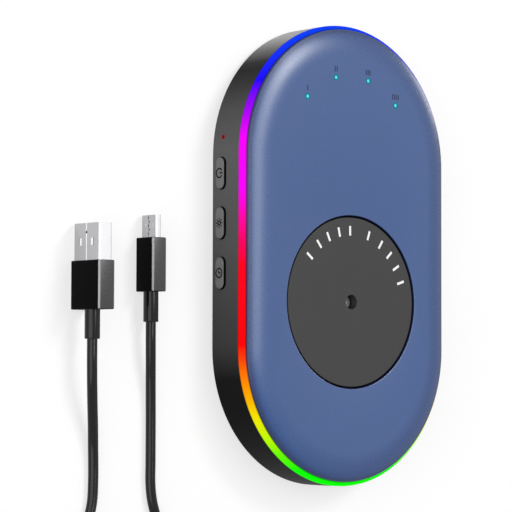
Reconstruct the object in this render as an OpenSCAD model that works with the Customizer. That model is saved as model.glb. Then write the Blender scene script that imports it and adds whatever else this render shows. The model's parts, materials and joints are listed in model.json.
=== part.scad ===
// Slim mouse mover with a powered turntable, lying flat on a desk beside its charging cable.
// Millimetres. X runs across the case, Y along it and Z up out of the turntable.
// The origin is on the desk, under the middle of the case.

/* [Case] */
// Overall length of the case
case_len = 140; // [134:1:170]
// Overall width of the case
case_w = 82.8; // [81:0.2:100]
// Height of the black side wall
wall_h = 12.4; // [12:0.1:18]
// Thickness of the case floor
floor_t = 1.6; // [1.2:0.1:2.2]
// Thickness of the side wall above its ledge
wall_t = 2; // [1.4:0.1:2.2]
// Thickness of the side wall below its ledge
ledge_t = 3.6; // [3:0.1:4]
// How far the ledge lies below the top of the wall
ledge_drop = 2.6; // [2.2:0.1:3.2]
// Radius of the rounded lower edge
base_round = 1.1; // [0.5:0.1:1.4]

/* [Light ring] */
// Height of the light ring that shows
ring_h = 2.15; // [1.6:0.05:3]
// Width of the light ring, wall included
ring_w = 3.4; // [2.8:0.1:3.8]
// How far the ring's tongue reaches down inside the wall
ring_tongue = 0.8; // [0.4:0.1:1]
// How far the cover is set in from the outer face
cover_inset = 1.3; // [0.8:0.1:1.8]

/* [Cover] */
// Rise of the cover above the light ring
cover_rise = 2.4; // [2.1:0.1:4]
// Wall of the cover
cover_t = 1.6; // [1.2:0.1:1.8]
// Distance from the outer face to the flat top
flat_inset = 10; // [7:0.5:11]
// Height of the steep edge of the cover
edge_h = 0.8; // [0.5:0.1:1.2]
// Width of the cover's locating skirt
skirt_t = 1.4; // [1:0.1:2]

/* [Turntable] */
// Distance from the lower end of the case to the middle of the turntable
disc_from_end = 55.65; // [52:0.05:56.5]
// Radius of the dish in the cover
dish_r = 26.1; // [22:0.1:27]
// Gap round the turntable
disc_gap = 0.45; // [0.3:0.05:0.8]
// How far the turntable lies below the cover
disc_sink = 0.3; // [0.1:0.05:0.6]
// Thickness of the turntable
disc_t = 2; // [1.6:0.1:2.4]
// Gap under the turntable
disc_air = 0.4; // [0.3:0.05:0.6]
// Radius of the centre hole
centre_hole_r = 2.25; // [2:0.05:2.8]
// Radius of the hub
hub_r = 4.6; // [3.8:0.1:6]
// Rounding of the turntable's rim
disc_round = 0.25; // [0.1:0.05:0.5]

/* [Buttons] */
// Length of a button
button_len = 9.3; // [8:0.1:10.5]
// Height of a button
button_h = 3.6; // [3:0.1:4.2]
// How far a button stands out
button_out = 0.9; // [0.5:0.1:1.4]
// Gap round a button
button_gap = 0.3; // [0.15:0.05:0.5]
// Distance between buttons
button_pitch = 14.8; // [12.5:0.1:15.5]
// How far the first button lies below the start of the upper rounded end
button_back = 5.5; // [5.2:0.1:8]
// Height of the buttons above the underside
button_up = 4.75; // [4.5:0.05:5.2]
// Travel of a button
button_travel = 0.4; // [0.2:0.05:0.5]
// Wall left in front of a button's flange
button_wall = 1.6; // [1.2:0.1:1.8]
// Thickness of a button's flange
flange_t = 0.8; // [0.6:0.1:1]
// Width of a button's flange
flange_w = 0.7; // [0.5:0.1:0.9]

/* [Lights] */
// Radius of the row of mode lights about the end's centre
mode_light_r = 25.7; // [22:0.1:28]
// Radius of a mode light
mode_dot_r = 0.6; // [0.4:0.05:0.8]
// Radius of a light pipe
pipe_r = 1.4; // [1.1:0.05:1.8]
// Angle of the charge light round the end, from the straight side
charge_angle = 7.3; // [6:0.1:12]
// Radius of the charge light
charge_dot_r = 0.6; // [0.4:0.05:0.8]
// Number of lights under the ring
ring_light_count = 24; // [16:2:30]

/* [Battery] */
// Length of the battery
battery_len = 44; // [36:1:48]
// Width of the battery
battery_w = 26; // [20:1:32]
// Thickness of the battery
battery_t = 7; // [5:0.5:8.5]

/* [Gears] */
// Module of the gears
gear_module = 0.6; // [0.55:0.01:0.62]
// Pressure angle
pressure_angle = 25; // [22:0.5:26]
// Teeth of each pinion
pinion_teeth = 10; // [9:1:11]
// Teeth of the first gear
first_teeth = 36; // [35:1:37]
// Teeth of the second gear
second_teeth = 34; // [33:1:35]
// Teeth of the output gear
output_teeth = 40; // [38:1:41]
// Free play between teeth
backlash = 0.16; // [0.12:0.01:0.22]
// Radius of the gear axles
axle_r = 0.75; // [0.6:0.05:0.8]
// Running gap between an axle and its gear
axle_fit = 0.05; // [0.03:0.01:0.08]
// Radius of the output shaft
shaft_r = 2.4; // [2.2:0.1:2.6]

/* [Motor] */
// Radius of the flat motor
motor_r = 10; // [8.5:0.1:10]
// Height of the flat motor
motor_h = 5.8; // [5:0.1:5.9]

/* [Feet and screws] */
// How far the feet stand out
foot_h = 0.8; // [0.5:0.1:2]
// Radius of a foot
foot_r = 5; // [4:0.1:6]
// Depth of a foot's pocket
foot_pocket = 0.5; // [0.3:0.1:0.6]
// Radius of a case screw
case_screw_r = 1; // [0.8:0.05:1.2]
// Radius of the small screws
small_screw_r = 0.8; // [0.6:0.05:0.9]

/* [Cable] */
// Diameter of the cable
cable_d = 3; // [2.6:0.1:3]
// Width of the large plug's metal shell
plug_a_w = 12; // [11.5:0.1:12.4]
// Thickness of the large plug's metal shell
plug_a_t = 4.5; // [4.3:0.1:4.7]
// Length of the large plug's shell that shows
plug_a_len = 10.5; // [9:0.5:12.5]
// Width of the small plug's metal shell
plug_b_w = 6.8; // [6.4:0.05:6.9]
// Thickness of the small plug's metal shell
plug_b_t = 1.85; // [1.6:0.05:1.9]
// Length of the small plug's shell that shows
plug_b_len = 6.5; // [5.5:0.5:7]
// Wall of the plug shells
shell_t = 0.3; // [0.2:0.05:0.35]

/* [Hidden] */
$fn = 64;

// Clearances
fit = 0.1;              // between fixed pieces that slip together
screw_fit = 0.02;       // round a screw's thread
run_gap = 0.3;          // between pieces that move past each other
eps = 0.01;             // how far joined solids reach into each other
over = 1;               // how far a cutter runs past a face

// Levels above the desk
case_z = foot_h;
floor_z = case_z + floor_t;
rim_z = case_z + wall_h;
ledge_z = rim_z - ledge_drop;
cover_z = rim_z + ring_h;
top_z = cover_z + cover_rise;
disc_top_z = top_z - disc_sink;
disc_z = disc_top_z - disc_t;
dish_z = disc_z - disc_air;
dish_under_z = dish_z - cover_t;
cover_under_z = top_z - cover_t;

// Plan of the case
case_r = case_w / 2;
end_y = (case_len - case_w) / 2;
disc_y = disc_from_end - case_len / 2;
inner_r = case_r - wall_t;
lower_inner_r = case_r - ledge_t;
boss_in = 12.9;
boss_past_end = 15.4;
boss_x = case_r - boss_in;
boss_y = end_y + boss_past_end;
boss_places = [for (x = [-boss_x, boss_x], y = [-boss_y, boss_y]) [x, y]];

// Case screws
boss_r = 3;
boss_h = 3.6;
boss_top_z = floor_z + boss_h;
case_head_r = 2;
case_head_h = 1.3;
case_head_gap = 0.2;
case_head_z = case_z + foot_pocket + case_head_h + case_head_gap;
case_screw_len = 7;
bore_spare = 0.6;
case_bore_len = case_screw_len + bore_spare;
post_r = 2.6;

// Buttons
button_z = case_z + button_up;
button_places = [for (step = [0, 1, 2]) end_y - button_back - step * button_pitch];
button_edge = 0.25;
pocket_x = case_r - button_wall;
flange_gap = 0.05;
flange_back_x = pocket_x - flange_gap - flange_t;
pocket_gap = 0.25;
stem_r = 0.85;

// Main board and its parts
switch_axis_up = 0.95;
board_t = 1;
board_top_z = button_z - switch_axis_up;
board_z = board_top_z - board_t;
board_gap = 0.4;
board_left_x = -(lower_inner_r - board_gap);
board_inner_x = -20;
board_past_button = 10;
board_low_y = button_places[2] - board_past_button;
board_past_end = 16;
board_mid_y = end_y + board_past_end;
board_far_y = end_y - board_left_x;
board_hole_in = 4;
board_hole_up = 17;
board_hole_past_end = 3;
far_hole_in = 4.4;
far_hole_x = 10;
board_hole_places = [
    [board_inner_x - board_hole_in, board_low_y + board_hole_up],
    [board_inner_x - board_hole_in, end_y + board_hole_past_end],
    [far_hole_x, board_far_y - far_hole_in]
];
standoff_r = 2.5;
board_head_r = 1.6;
board_head_h = 0.8;
switch_size = [3.5, 6, 2.4];
switch_in = 0.8;
switch_x = board_left_x + switch_in;
plunger_r = 0.7;
plunger_gap = 0.1;
plunger_in = 0.5;
stem_len = 1.4;
plunger_tip_x = -(flange_back_x - stem_len);

// Charging socket
socket_w = 7.6;
socket_h = 2.7;
socket_len = 5.6;
socket_wall = 0.25;
socket_gap = 0.2;
socket_face_in = 0.8;
socket_z = board_top_z + socket_h / 2;
socket_front_y = end_y + case_r - socket_face_in;

// Battery
battery_pad_t = 0.5;
battery_gap = 0.4;
battery_in = 6;
battery_x = board_inner_x + battery_in + battery_len / 2;
battery_y = end_y + boss_past_end - boss_r - battery_gap - battery_w / 2;
battery_z = floor_z + battery_pad_t;
battery_edge = 1.5;
pad_in = 2;
lead_r = 0.5;
battery_lead_back = 2.6;
battery_lead_y = end_y - battery_lead_back;
connector_size = [5, 6, 3];
connector_in = 1;
connector_x = board_inner_x - connector_in - connector_size[0];
lead_z = board_top_z + connector_size[2] / 2;
lead_pitch = 2;

// Gear train: its axes in plan, worked out from the disc outwards
output_step = gear_module * (pinion_teeth + output_teeth) / 2;
second_step = gear_module * (pinion_teeth + second_teeth) / 2;
first_step = gear_module * (pinion_teeth + first_teeth) / 2;
output_angle = -45;
second_angle = -135;
first_angle = -70;
function step_to(place, distance, angle) = place + distance * [cos(angle), sin(angle)];
output_at = [0, disc_y];
second_at = step_to(output_at, output_step, output_angle);
first_at = step_to(second_at, second_step, second_angle);
motor_at = step_to(first_at, first_step, first_angle);
tooth_top = 0.8;
tooth_root = 1.05;

// Gear levels
frame_t = 1.2;
frame_top_z = floor_z + frame_t;
gear_air = 0.3;
output_gear_t = 1.6;
mid_gear_t = 1.4;
output_gear_z = frame_top_z + gear_air;
second_gear_z = output_gear_z + output_gear_t + run_gap;
first_pinion_len = 1.5;
first_gear_z = second_gear_z + mid_gear_t + first_pinion_len;
hub_rise = 0.3;
gear_top_z = first_gear_z + mid_gear_t + hub_rise;
bridge_z = gear_top_z + gear_air;
bridge_t = 1.2;
bridge_top_z = bridge_z + bridge_t;
gear_hub_r = 1.8;
second_hub_r = 1.4;
axle_seat = 0.7;
frame_output_r = 12.6;
frame_motor_r = 14.5;
frame_half = 14;
lug_r = 3.2;
cup_r = 11.5;
cup_drop = 0.2;
cup_top_z = output_gear_z + output_gear_t - cup_drop;
column_r = 2.2;
left_column_x = -15.5;
right_column_x = 14.5;
right_column_up = 5.85;
low_column_x = -9;
low_column_back = 30.65;
far_column_x = 19.5;
far_column_back = 23.65;
column_places = [
    [left_column_x, disc_y], [right_column_x, disc_y + right_column_up],
    [low_column_x, disc_y - low_column_back], [far_column_x, disc_y - far_column_back]
];
pad_r = 3.2;
spoke_half = 2.4;
bridge_spokes = [
    [column_places[0], output_at], [output_at, column_places[1]], [output_at, second_at],
    [second_at, column_places[3]], [second_at, first_at], [first_at, column_places[2]]
];
bridge_head_r = 1.6;
bridge_head_h = 0.8;
bridge_screw_len = 5;
peg_r = 1.2;
left_peg_x = -7;
top_peg_up = 7;
low_peg_back = 22;
right_peg_x = 14;
right_peg_back = 17;
peg_places = [
    [left_peg_x, disc_y + top_peg_up], [left_peg_x, disc_y - low_peg_back],
    [right_peg_x, disc_y - right_peg_back]
];

// Turntable drive
hub_gap = 0.5;
shoulder_z = bridge_top_z + hub_gap;
drive_w = 2.4;
drive_gap = 0.05;
web_rise = 0.25;
web_t = dish_under_z - shoulder_z + web_rise;
web_top_z = shoulder_z + web_t;
disc_screw_head_r = 1.9;
disc_screw_head_h = 1.1;
disc_screw_len = 5;

// Motor
motor_shaft_r = 0.75;
motor_cup_gap = 0.1;
motor_shaft_in = 1.4;

// Lights
ring_strip_t = 0.25;
ring_strip_w = 3.5;
ring_led_w = 2;
ring_led_h = 0.8;
mode_angles = [135, 105, 75, 45];
mode_led_w = 1.6;
mode_led_h = 0.8;
pipe_gap = 0.2;
pipe_fit = 0.05;
pipe_sleeve_t = 0.9;
pipe_sleeve_len = 5;
lens_head_r = 1.1;
lens_head_t = 0.8;
lens_seat_gap = 0.05;
charge_led_size = [1.6, 2, 2];
charge_up = 5.05;
charge_z = case_z + charge_up;

// Cable: the large plug stands at the left, the small one at the right, both on a narrow side
cable_r = cable_d / 2;
plug_a_grip = [5.7, 13.8, 13.6];
plug_a_tail_len = 8.3;
plug_b_grip = [5.2, 15.6, 8.2];
plug_b_tail_len = 8.8;
grip_round = 0.7;
tail_r = 2.4;
tail_end_r = 2;
plug_sink = 4;

// Routes of the two free stretches, from a plug's tail to the coil and back
coil_at = [-75, -109];
coil_low_z = 2.3;
coil_high_z = 5.8;
large_plug_route = [
    [-89.6, -26.6, 6.8], [-89.6, -33, 6.8], [-89, -39, 6.1], [-87.8, -45, 4.7], [-86.4, -51, 3.1],
    [-85.4, -57, 1.9], [-85, -62, 1.5], [-85, -67, 1.5], [-85.4, -73, 1.5], [-87.2, -79, 1.5],
    [-90.2, -85, 1.5], [-93.8, -91, 1.6], [-96.8, -96.5, 1.9], [-98.6, -101.5, 2.2], [-99, -106, 2.3]
];
small_plug_route = [
    [-66.6, -21.4, 4.1], [-66.6, -27, 4.1], [-66, -32.5, 3.4], [-65.2, -38, 2.4], [-64.6, -44, 1.7],
    [-64.4, -50, 1.5], [-64.4, -56, 1.5], [-64.4, -62, 1.5], [-64.4, -68, 1.5], [-63.6, -73.5, 1.5],
    [-61.6, -79, 1.5], [-58.6, -84.5, 1.7], [-55.4, -90, 2.4], [-52.8, -95.5, 3.8], [-51.3, -101, 5.3],
    [-51, -106, 5.8]
];

// Coil: two layers of turns, winding in below and out again above
coil_turns = 8.5;
coil_outer_r = 24;
coil_inner_r = 9;
loop_rings = 24;
loop_sides = 6;
lead_sides = 8;
away = [0, -1, 0];
leftwards = [-1, 0, 0];
coil_steps = coil_turns * loop_rings;
function coil_share(i) = i / coil_steps;
function coil_radius(share) =
    coil_inner_r + (coil_outer_r - coil_inner_r) * abs(1 - 2 * share);
// Share of the climb done: it takes the half turn round the middle of the winding
function climb(share) =
    let (t = min(1, max(0, (share - 0.5) * coil_turns * 2 + 0.5))) t * t * (3 - 2 * t);
function coil_point(i) =
    let (share = coil_share(i), a = 180 + 360 * coil_turns * share, r = coil_radius(share))
    [coil_at[0] + r * cos(a), coil_at[1] + r * sin(a),
     coil_low_z + (coil_high_z - coil_low_z) * climb(share)];
coil_path = concat(
    [[coil_at[0] - coil_outer_r, coil_at[1] + cable_d, coil_low_z]],
    [for (i = [0:coil_steps]) coil_point(i)],
    [[coil_at[0] + coil_outer_r, coil_at[1] + cable_d, coil_high_z]]
);
// Least gap between stretches of the coil that are at least a third of a turn apart
gap_steps = loop_rings / 3;
coil_self_gap = min([for (i = [0:coil_steps - gap_steps], j = [i + gap_steps:coil_steps])
    norm(coil_point(i) - coil_point(j))]) - cable_d;
echo(least_gap_of_coil_to_itself = coil_self_gap);

tie_w = 4;
tie_t = 0.6;
tie_gap = 0.2;

// ---- Helpers ----

// Sweeps a profile of [radius, height] points round a stadium with straight sides along Y
module stadium_lathe(profile, half) {
    for (turn = [0, 180])
        rotate(turn) translate([0, half, 0]) rotate_extrude(angle = 180) polygon(profile);
    for (side = [0, 1])
        mirror([side, 0, 0])
            rotate([90, 0, 0]) linear_extrude(2 * half, center = true) polygon(profile);
}

// A flat stadium slab between two heights
module stadium_slab(r, half, z0, z1) {
    translate([-r, -half, z0]) cube([2 * r, 2 * half, z1 - z0]);
    for (y = [-half, half]) translate([0, y, z0]) cylinder(r = r, h = z1 - z0);
}

// A round peg between two heights
module post(r, z0, z1) {
    translate([0, 0, z0]) cylinder(r = r, h = z1 - z0);
}

// Outline in plan of a bar between two places
module bar_outline(from, to, half_w) {
    way = to - from;
    translate(from) rotate(atan2(way[1], way[0]))
        translate([0, -half_w]) square([norm(way), 2 * half_w]);
}

// Quarter of an ellipse from one [radius, height] point to another, bulging outwards
function quarter(from, to, steps) =
    [for (i = [0:steps]) let (a = 90 * i / steps)
        [to[0] + (from[0] - to[0]) * cos(a), from[1] + (to[1] - from[1]) * sin(a)]];

// A list in the opposite order
function backwards(list) = [for (i = [len(list) - 1:-1:0]) list[i]];

// A box that is centred on X and Y
module slab(size, z0) {
    translate([-size[0] / 2, -size[1] / 2, z0]) cube(size);
}

// Direction of a path at one of its points
function path_way(path, i) =
    let (a = path[max(0, i - 1)], b = path[min(len(path) - 1, i + 1)]) (b - a) / norm(b - a);

// One ring of a tube: its corners lie square to the path, with one face flat downwards
function tube_ring(path, i, r, sides, way) =
    let (
        side = cross(way, [0, 0, 1]) / norm(cross(way, [0, 0, 1])),
        up = cross(side, way)
    )
    [for (k = [0:sides - 1]) let (a = 360 * (k + 0.5) / sides - 90)
        path[i] + r * (cos(a) * side + sin(a) * up)];

// A solid tube along a path, with its ends square to the given directions
module tube(path, r, sides, first_way, last_way) {
    last = len(path) - 1;
    points = [for (i = [0:last])
        each tube_ring(path, i, r, sides,
            i == 0 ? first_way : i == last ? last_way : path_way(path, i))];
    start_face = [for (k = [1:sides - 2]) [0, k + 1, k]];
    end_face = [for (k = [1:sides - 2]) [last * sides, last * sides + k, last * sides + k + 1]];
    sides_a = [for (i = [0:last - 1], k = [0:sides - 1])
        [i * sides + k, i * sides + (k + 1) % sides, (i + 1) * sides + k]];
    sides_b = [for (i = [0:last - 1], k = [0:sides - 1])
        [i * sides + (k + 1) % sides, (i + 1) * sides + (k + 1) % sides, (i + 1) * sides + k]];
    polyhedron(points, concat(start_face, end_face, sides_a, sides_b));
}

// A slab with rounded corners in plan, centred on X and Y
module round_slab(size, r, z0) {
    slab([size[0] - 2 * r, size[1], size[2]], z0);
    slab([size[0], size[1] - 2 * r, size[2]], z0);
    for (x = [-1, 1], y = [-1, 1])
        translate([x * (size[0] / 2 - r), y * (size[1] / 2 - r), 0]) post(r, z0, z0 + size[2]);
}

// A bar along Y with rounded edges, standing on its narrow side: size is [thickness, length, height]
module bar(size, r) {
    rotate([-90, 0, 0]) round_slab([size[0], size[2], size[1]], r, 0);
}

// ---- Case, ring and cover ----

round_steps = 5;
crown_steps = 16;
cover_r = case_r - cover_inset;
flat_r = case_r - flat_inset;
skirt_out_r = case_r - ring_w - fit;
skirt_in_r = skirt_out_r - skirt_t;
edge_round = 0.4;
crown_w = cover_r - edge_round - flat_r;
crown_h = cover_rise - edge_h;
crown_r = (crown_w * crown_w + crown_h * crown_h) / (2 * crown_h);
crown = [for (i = [0:crown_steps]) let (x = crown_w * (1 - i / crown_steps))
    [flat_r + x, top_z - crown_r + sqrt(crown_r * crown_r - x * x)]];

case_profile = concat(
    [[0, floor_z], [0, case_z]],
    backwards(quarter([case_r, case_z + base_round], [case_r - base_round, case_z], round_steps)),
    [[case_r, rim_z], [inner_r, rim_z], [inner_r, ledge_z], [lower_inner_r, ledge_z],
     [lower_inner_r, floor_z]]
);

ring_flat_share = 1 / 3;
ring_profile = concat(
    [[case_r - ring_w, rim_z - ring_tongue], [inner_r - fit, rim_z - ring_tongue],
     [inner_r - fit, rim_z]],
    quarter([case_r, rim_z + ring_h * ring_flat_share], [cover_r, cover_z], round_steps),
    [[case_r - ring_w, cover_z]]
);
ring_outline = concat([for (i = [0:2]) ring_profile[i]], [[case_r, rim_z]],
    [for (i = [3:len(ring_profile) - 1]) ring_profile[i]]);

cover_profile = concat(
    [[0, cover_under_z], [skirt_in_r, cover_under_z], [skirt_in_r, rim_z], [skirt_out_r, rim_z],
     [skirt_out_r, cover_z]],
    quarter([cover_r, cover_z], [cover_r - edge_round, cover_z + edge_h], round_steps),
    [for (i = [1:crown_steps]) crown[i]],
    [[0, top_z]]
);

mode_light_places = [for (a = mode_angles)
    [mode_light_r * cos(a), end_y + mode_light_r * sin(a)]];

// Puts its children at a button, with Z pointing out of the left wall
module at_button(y) {
    translate([0, y, button_z]) rotate([0, -90, 0]) children();
}

// A pill-shaped block through the wall, between two distances from the middle of the case
module wall_pill(len, h, x0, x1) {
    stadium_slab(h / 2, (len - h) / 2, x0, x1);
}

// Puts its children at the charge light, with Z pointing out of the rounded end
module at_charge_light() {
    translate([0, end_y, charge_z]) rotate(180 - charge_angle) rotate([0, 90, 0]) children();
}

fence_t = 1.2;
fence_len = 10;
fence_h = 2.5;
module battery_fences() {
    for (side = [-1, 1]) {
        translate([battery_x, battery_y + side * (battery_w / 2 + fit + fence_t / 2), 0])
            slab([fence_len, fence_t, fence_h + eps], floor_z - eps);
        translate([battery_x + side * (battery_len / 2 + fit + fence_t / 2), battery_y, 0])
            slab([fence_t, fence_len, fence_h + eps], floor_z - eps);
    }
}
module bottom_case() color([0.13, 0.13, 0.14]) difference() {
    union() {
        stadium_lathe(case_profile, end_y);
        for (place = boss_places) translate(place) post(boss_r, floor_z - eps, boss_top_z);
        for (place = board_hole_places) translate(place) post(standoff_r, floor_z - eps, board_z);
        for (place = peg_places) translate(place) post(peg_r, floor_z - eps, frame_top_z);
        battery_fences();
    }
    for (place = boss_places) translate(place) {
        post(foot_r + fit, case_z - over, case_z + foot_pocket);
        post(case_head_r + fit, case_z, case_head_z);
        post(case_screw_r + fit, case_z, boss_top_z + over);
    }
    for (place = board_hole_places) translate(place)
        post(small_screw_r + screw_fit, floor_z, board_z + over);
    for (y = button_places) at_button(y) {
        wall_pill(button_len + 2 * button_gap, button_h + 2 * button_gap, pocket_x - eps,
            case_r + over);
        wall_pill(button_len + 2 * (flange_w + pocket_gap), button_h + 2 * (flange_w + pocket_gap),
            lower_inner_r - over, pocket_x);
    }
    at_charge_light() post(charge_dot_r + pipe_fit, lower_inner_r - over, case_r + over);
    translate([0, end_y + case_r, socket_z])
        cube([socket_w + 2 * socket_gap, 2 * (ledge_t + over), socket_h + 2 * socket_gap],
            center = true);
}

module rubber_feet() color([0.08, 0.08, 0.08])
    for (place = boss_places) translate(place) post(foot_r, 0, case_z + foot_pocket);

module case_screws() color([0.7, 0.7, 0.72])
    for (place = boss_places) translate(place) {
        post(case_head_r, case_head_z - case_head_h, case_head_z);
        post(case_screw_r, case_head_z - eps, case_head_z + case_screw_len);
    }

module light_ring() color([0.9, 0.1, 0.8]) stadium_lathe(ring_outline, end_y);

module top_cover() color([0.33, 0.42, 0.59]) difference() {
    union() {
        stadium_lathe(cover_profile, end_y);
        translate(output_at) post(dish_r + cover_t, dish_under_z, cover_under_z + eps);
        for (place = boss_places) translate(place) post(post_r, boss_top_z, cover_under_z + eps);
        for (place = mode_light_places) translate(place)
            post(pipe_r + pipe_fit + pipe_sleeve_t, cover_under_z - pipe_sleeve_len,
                cover_under_z + eps);
    }
    translate(output_at) {
        post(dish_r, dish_z, top_z + over);
        post(hub_r + run_gap, dish_under_z - over, dish_z + over);
    }
    for (place = boss_places) translate(place)
        post(case_screw_r + screw_fit, boss_top_z - over, case_head_z + case_bore_len);
    for (place = mode_light_places) translate(place) {
        post(mode_dot_r + pipe_fit, cover_under_z - over, top_z + over);
        post(pipe_r + pipe_fit, cover_under_z - pipe_sleeve_len - over, cover_under_z);
    }
}

// ---- Turntable ----

disc_r = dish_r - disc_gap;
disc_profile = concat(
    [[0, disc_z]],
    [[disc_r, disc_z]],
    quarter([disc_r, disc_top_z - disc_round], [disc_r - disc_round, disc_top_z], round_steps),
    [[0, disc_top_z]]
);

module turntable_disc() color([0.3, 0.3, 0.3]) translate(output_at) difference() {
    union() {
        rotate_extrude() polygon(disc_profile);
        post(hub_r, shoulder_z, disc_z + eps);
    }
    post(centre_hole_r, web_top_z, top_z);
    slab([drive_w + 2 * drive_gap, drive_w + 2 * drive_gap, web_t + 2 * over], shoulder_z - over);
}

cross_len = 2.2;
cross_w = 0.5;
cross_deep = 0.6;

module turntable_screw() color([0.75, 0.75, 0.78]) translate(output_at) difference() {
    union() {
        post(disc_screw_head_r, web_top_z, web_top_z + disc_screw_head_h);
        post(small_screw_r, web_top_z + eps - disc_screw_len, web_top_z + eps);
    }
    for (turn = [0, 90]) rotate(turn)
        slab([cross_len, cross_w, disc_screw_head_h], web_top_z + disc_screw_head_h - cross_deep);
}

// ---- Gears ----

// How far an involute has turned at a radius, in degrees
function involute(base_r, r) =
    let (t = sqrt(max(0, r * r / (base_r * base_r) - 1))) t * 180 / PI - atan(t);

// Half the angle that a tooth takes at a radius
function tooth_half(teeth, r) =
    let (
        pitch_r = gear_module * teeth / 2,
        base_r = pitch_r * cos(pressure_angle),
        play = backlash / 4 / pitch_r * 180 / PI
    )
    90 / teeth - play + involute(base_r, pitch_r) - involute(base_r, max(r, base_r));

function on_circle(r, a) = [r * cos(a), r * sin(a)];

// Outline of a spur gear with one tooth centred on the given angle
function gear_outline(teeth, phase) =
    let (
        pitch_r = gear_module * teeth / 2,
        root_r = pitch_r - tooth_root * gear_module,
        tip_r = pitch_r + tooth_top * gear_module,
        flank = [root_r, pitch_r - gear_module / 4, pitch_r + gear_module / 4, tip_r]
    )
    [for (i = [0:teeth - 1]) let (a = phase + 360 * i / teeth)
        each concat(
            [for (r = flank) on_circle(r, a - tooth_half(teeth, r))],
            [for (r = backwards(flank)) on_circle(r, a + tooth_half(teeth, r))]
        )];

module gear(teeth, phase, z0, z1) {
    translate([0, 0, z0]) linear_extrude(z1 - z0) polygon(gear_outline(teeth, phase));
}

// Angle that centres a gap, not a tooth, on a direction
function gap_phase(teeth, angle) = angle + 180 / teeth;

module output_gear() color([0.92, 0.9, 0.84]) translate(output_at) difference() {
    union() {
        gear(output_teeth, output_angle, output_gear_z, output_gear_z + output_gear_t);
        post(shaft_r, floor_z + gear_air, shoulder_z);
        slab([drive_w, drive_w, web_t - fit + eps], shoulder_z - eps);
    }
    post(small_screw_r + screw_fit, web_top_z - disc_screw_len - gear_air, web_top_z + over);
}

module second_gear() color([0.9, 0.88, 0.8]) translate(second_at) difference() {
    union() {
        gear(pinion_teeth, gap_phase(pinion_teeth, output_angle + 180), output_gear_z,
            second_gear_z + eps);
        gear(second_teeth, second_angle, second_gear_z, second_gear_z + mid_gear_t);
        post(second_hub_r, second_gear_z, gear_top_z);
    }
    post(axle_r + axle_fit, output_gear_z - over, gear_top_z + over);
}

module first_gear() color([0.9, 0.88, 0.8]) translate(first_at) difference() {
    union() {
        post(gear_hub_r, output_gear_z, second_gear_z);
        gear(pinion_teeth, gap_phase(pinion_teeth, second_angle + 180), second_gear_z - fit,
            first_gear_z + eps);
        gear(first_teeth, first_angle, first_gear_z, first_gear_z + mid_gear_t);
        post(gear_hub_r, first_gear_z, gear_top_z);
    }
    post(axle_r + axle_fit, output_gear_z - over, gear_top_z + over);
}

motor_top_z = floor_z + motor_h;
pinion_top_z = first_gear_z + mid_gear_t + fit;

module motor_pinion() color([0.8, 0.68, 0.35]) translate(motor_at) difference() {
    gear(pinion_teeth, gap_phase(pinion_teeth, first_angle + 180), first_gear_z - fit, pinion_top_z);
    post(motor_shaft_r + screw_fit, first_gear_z - over, pinion_top_z + over);
}

module motor_shaft() color([0.75, 0.75, 0.78])
    translate(motor_at) post(motor_shaft_r, motor_top_z - motor_shaft_in, pinion_top_z + fit);

module motor() color([0.7, 0.7, 0.72]) translate(motor_at) difference() {
    post(motor_r, floor_z, motor_top_z);
    post(motor_shaft_r + axle_fit, motor_top_z - motor_shaft_in - fit, motor_top_z + over);
}

module gear_frame() color([0.25, 0.25, 0.27]) difference() {
    union() {
        translate([0, 0, floor_z]) linear_extrude(frame_t) {
            translate(output_at) circle(frame_output_r);
            translate(motor_at) circle(frame_motor_r);
            bar_outline(output_at, motor_at, frame_half);
            bar_outline(output_at, column_places[1], spoke_half);
            for (place = column_places) translate(place) circle(lug_r);
        }
        translate(motor_at) post(cup_r, floor_z, cup_top_z);
        for (place = column_places) translate(place) post(column_r, floor_z, bridge_z);
    }
    translate(motor_at) post(motor_r + motor_cup_gap, floor_z - over, cup_top_z + over);
    translate(output_at) post(shaft_r + axle_fit, floor_z - over, frame_top_z + over);
    for (place = [second_at, first_at]) translate(place)
        post(axle_r + screw_fit, frame_top_z - axle_seat, frame_top_z + over);
    for (place = peg_places) translate(place) post(peg_r + fit, floor_z - over, frame_top_z + over);
    for (place = column_places) translate(place)
        post(small_screw_r + screw_fit, bridge_top_z - bridge_screw_len - gear_air, bridge_z + over);
}

module bridge_outline() difference() {
    union() {
        for (ends = bridge_spokes) bar_outline(ends[0], ends[1], spoke_half);
        for (place = concat(column_places, [second_at, first_at])) translate(place) circle(pad_r);
        translate(output_at) circle(shaft_r + pad_r);
    }
    translate(output_at) circle(shaft_r + axle_fit);
    for (place = column_places) translate(place) circle(small_screw_r + fit);
}

module gear_bridge() color([0.32, 0.32, 0.34]) difference() {
    translate([0, 0, bridge_z]) linear_extrude(bridge_t) bridge_outline();
    for (place = [second_at, first_at]) translate(place)
        post(axle_r + screw_fit, bridge_z - over, bridge_z + axle_seat);
}

module gear_axles() color([0.75, 0.75, 0.78])
    for (place = [second_at, first_at]) translate(place)
        post(axle_r, frame_top_z - axle_seat, bridge_z + axle_seat);

module gear_bridge_screws() color([0.7, 0.7, 0.72])
    for (place = column_places) translate(place) {
        post(bridge_head_r, bridge_top_z, bridge_top_z + bridge_head_h);
        post(small_screw_r, bridge_top_z - bridge_screw_len, bridge_top_z + eps);
    }

// ---- Buttons and their switches ----

button_face_x = case_r + button_out;

// Cap, flange and stem of one button, at rest
module button(y) {
    cap_r = button_h / 2;
    at_button(y) {
        stadium_lathe([
            [0, pocket_x - flange_gap], [cap_r, pocket_x - flange_gap],
            [cap_r, button_face_x - button_edge], [cap_r - button_edge, button_face_x],
            [0, button_face_x]
        ], (button_len - button_h) / 2);
        wall_pill(button_len + 2 * flange_w, button_h + 2 * flange_w, flange_back_x,
            pocket_x - flange_gap + eps);
        post(stem_r, -plunger_tip_x, flange_back_x + eps);
    }
}

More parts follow.
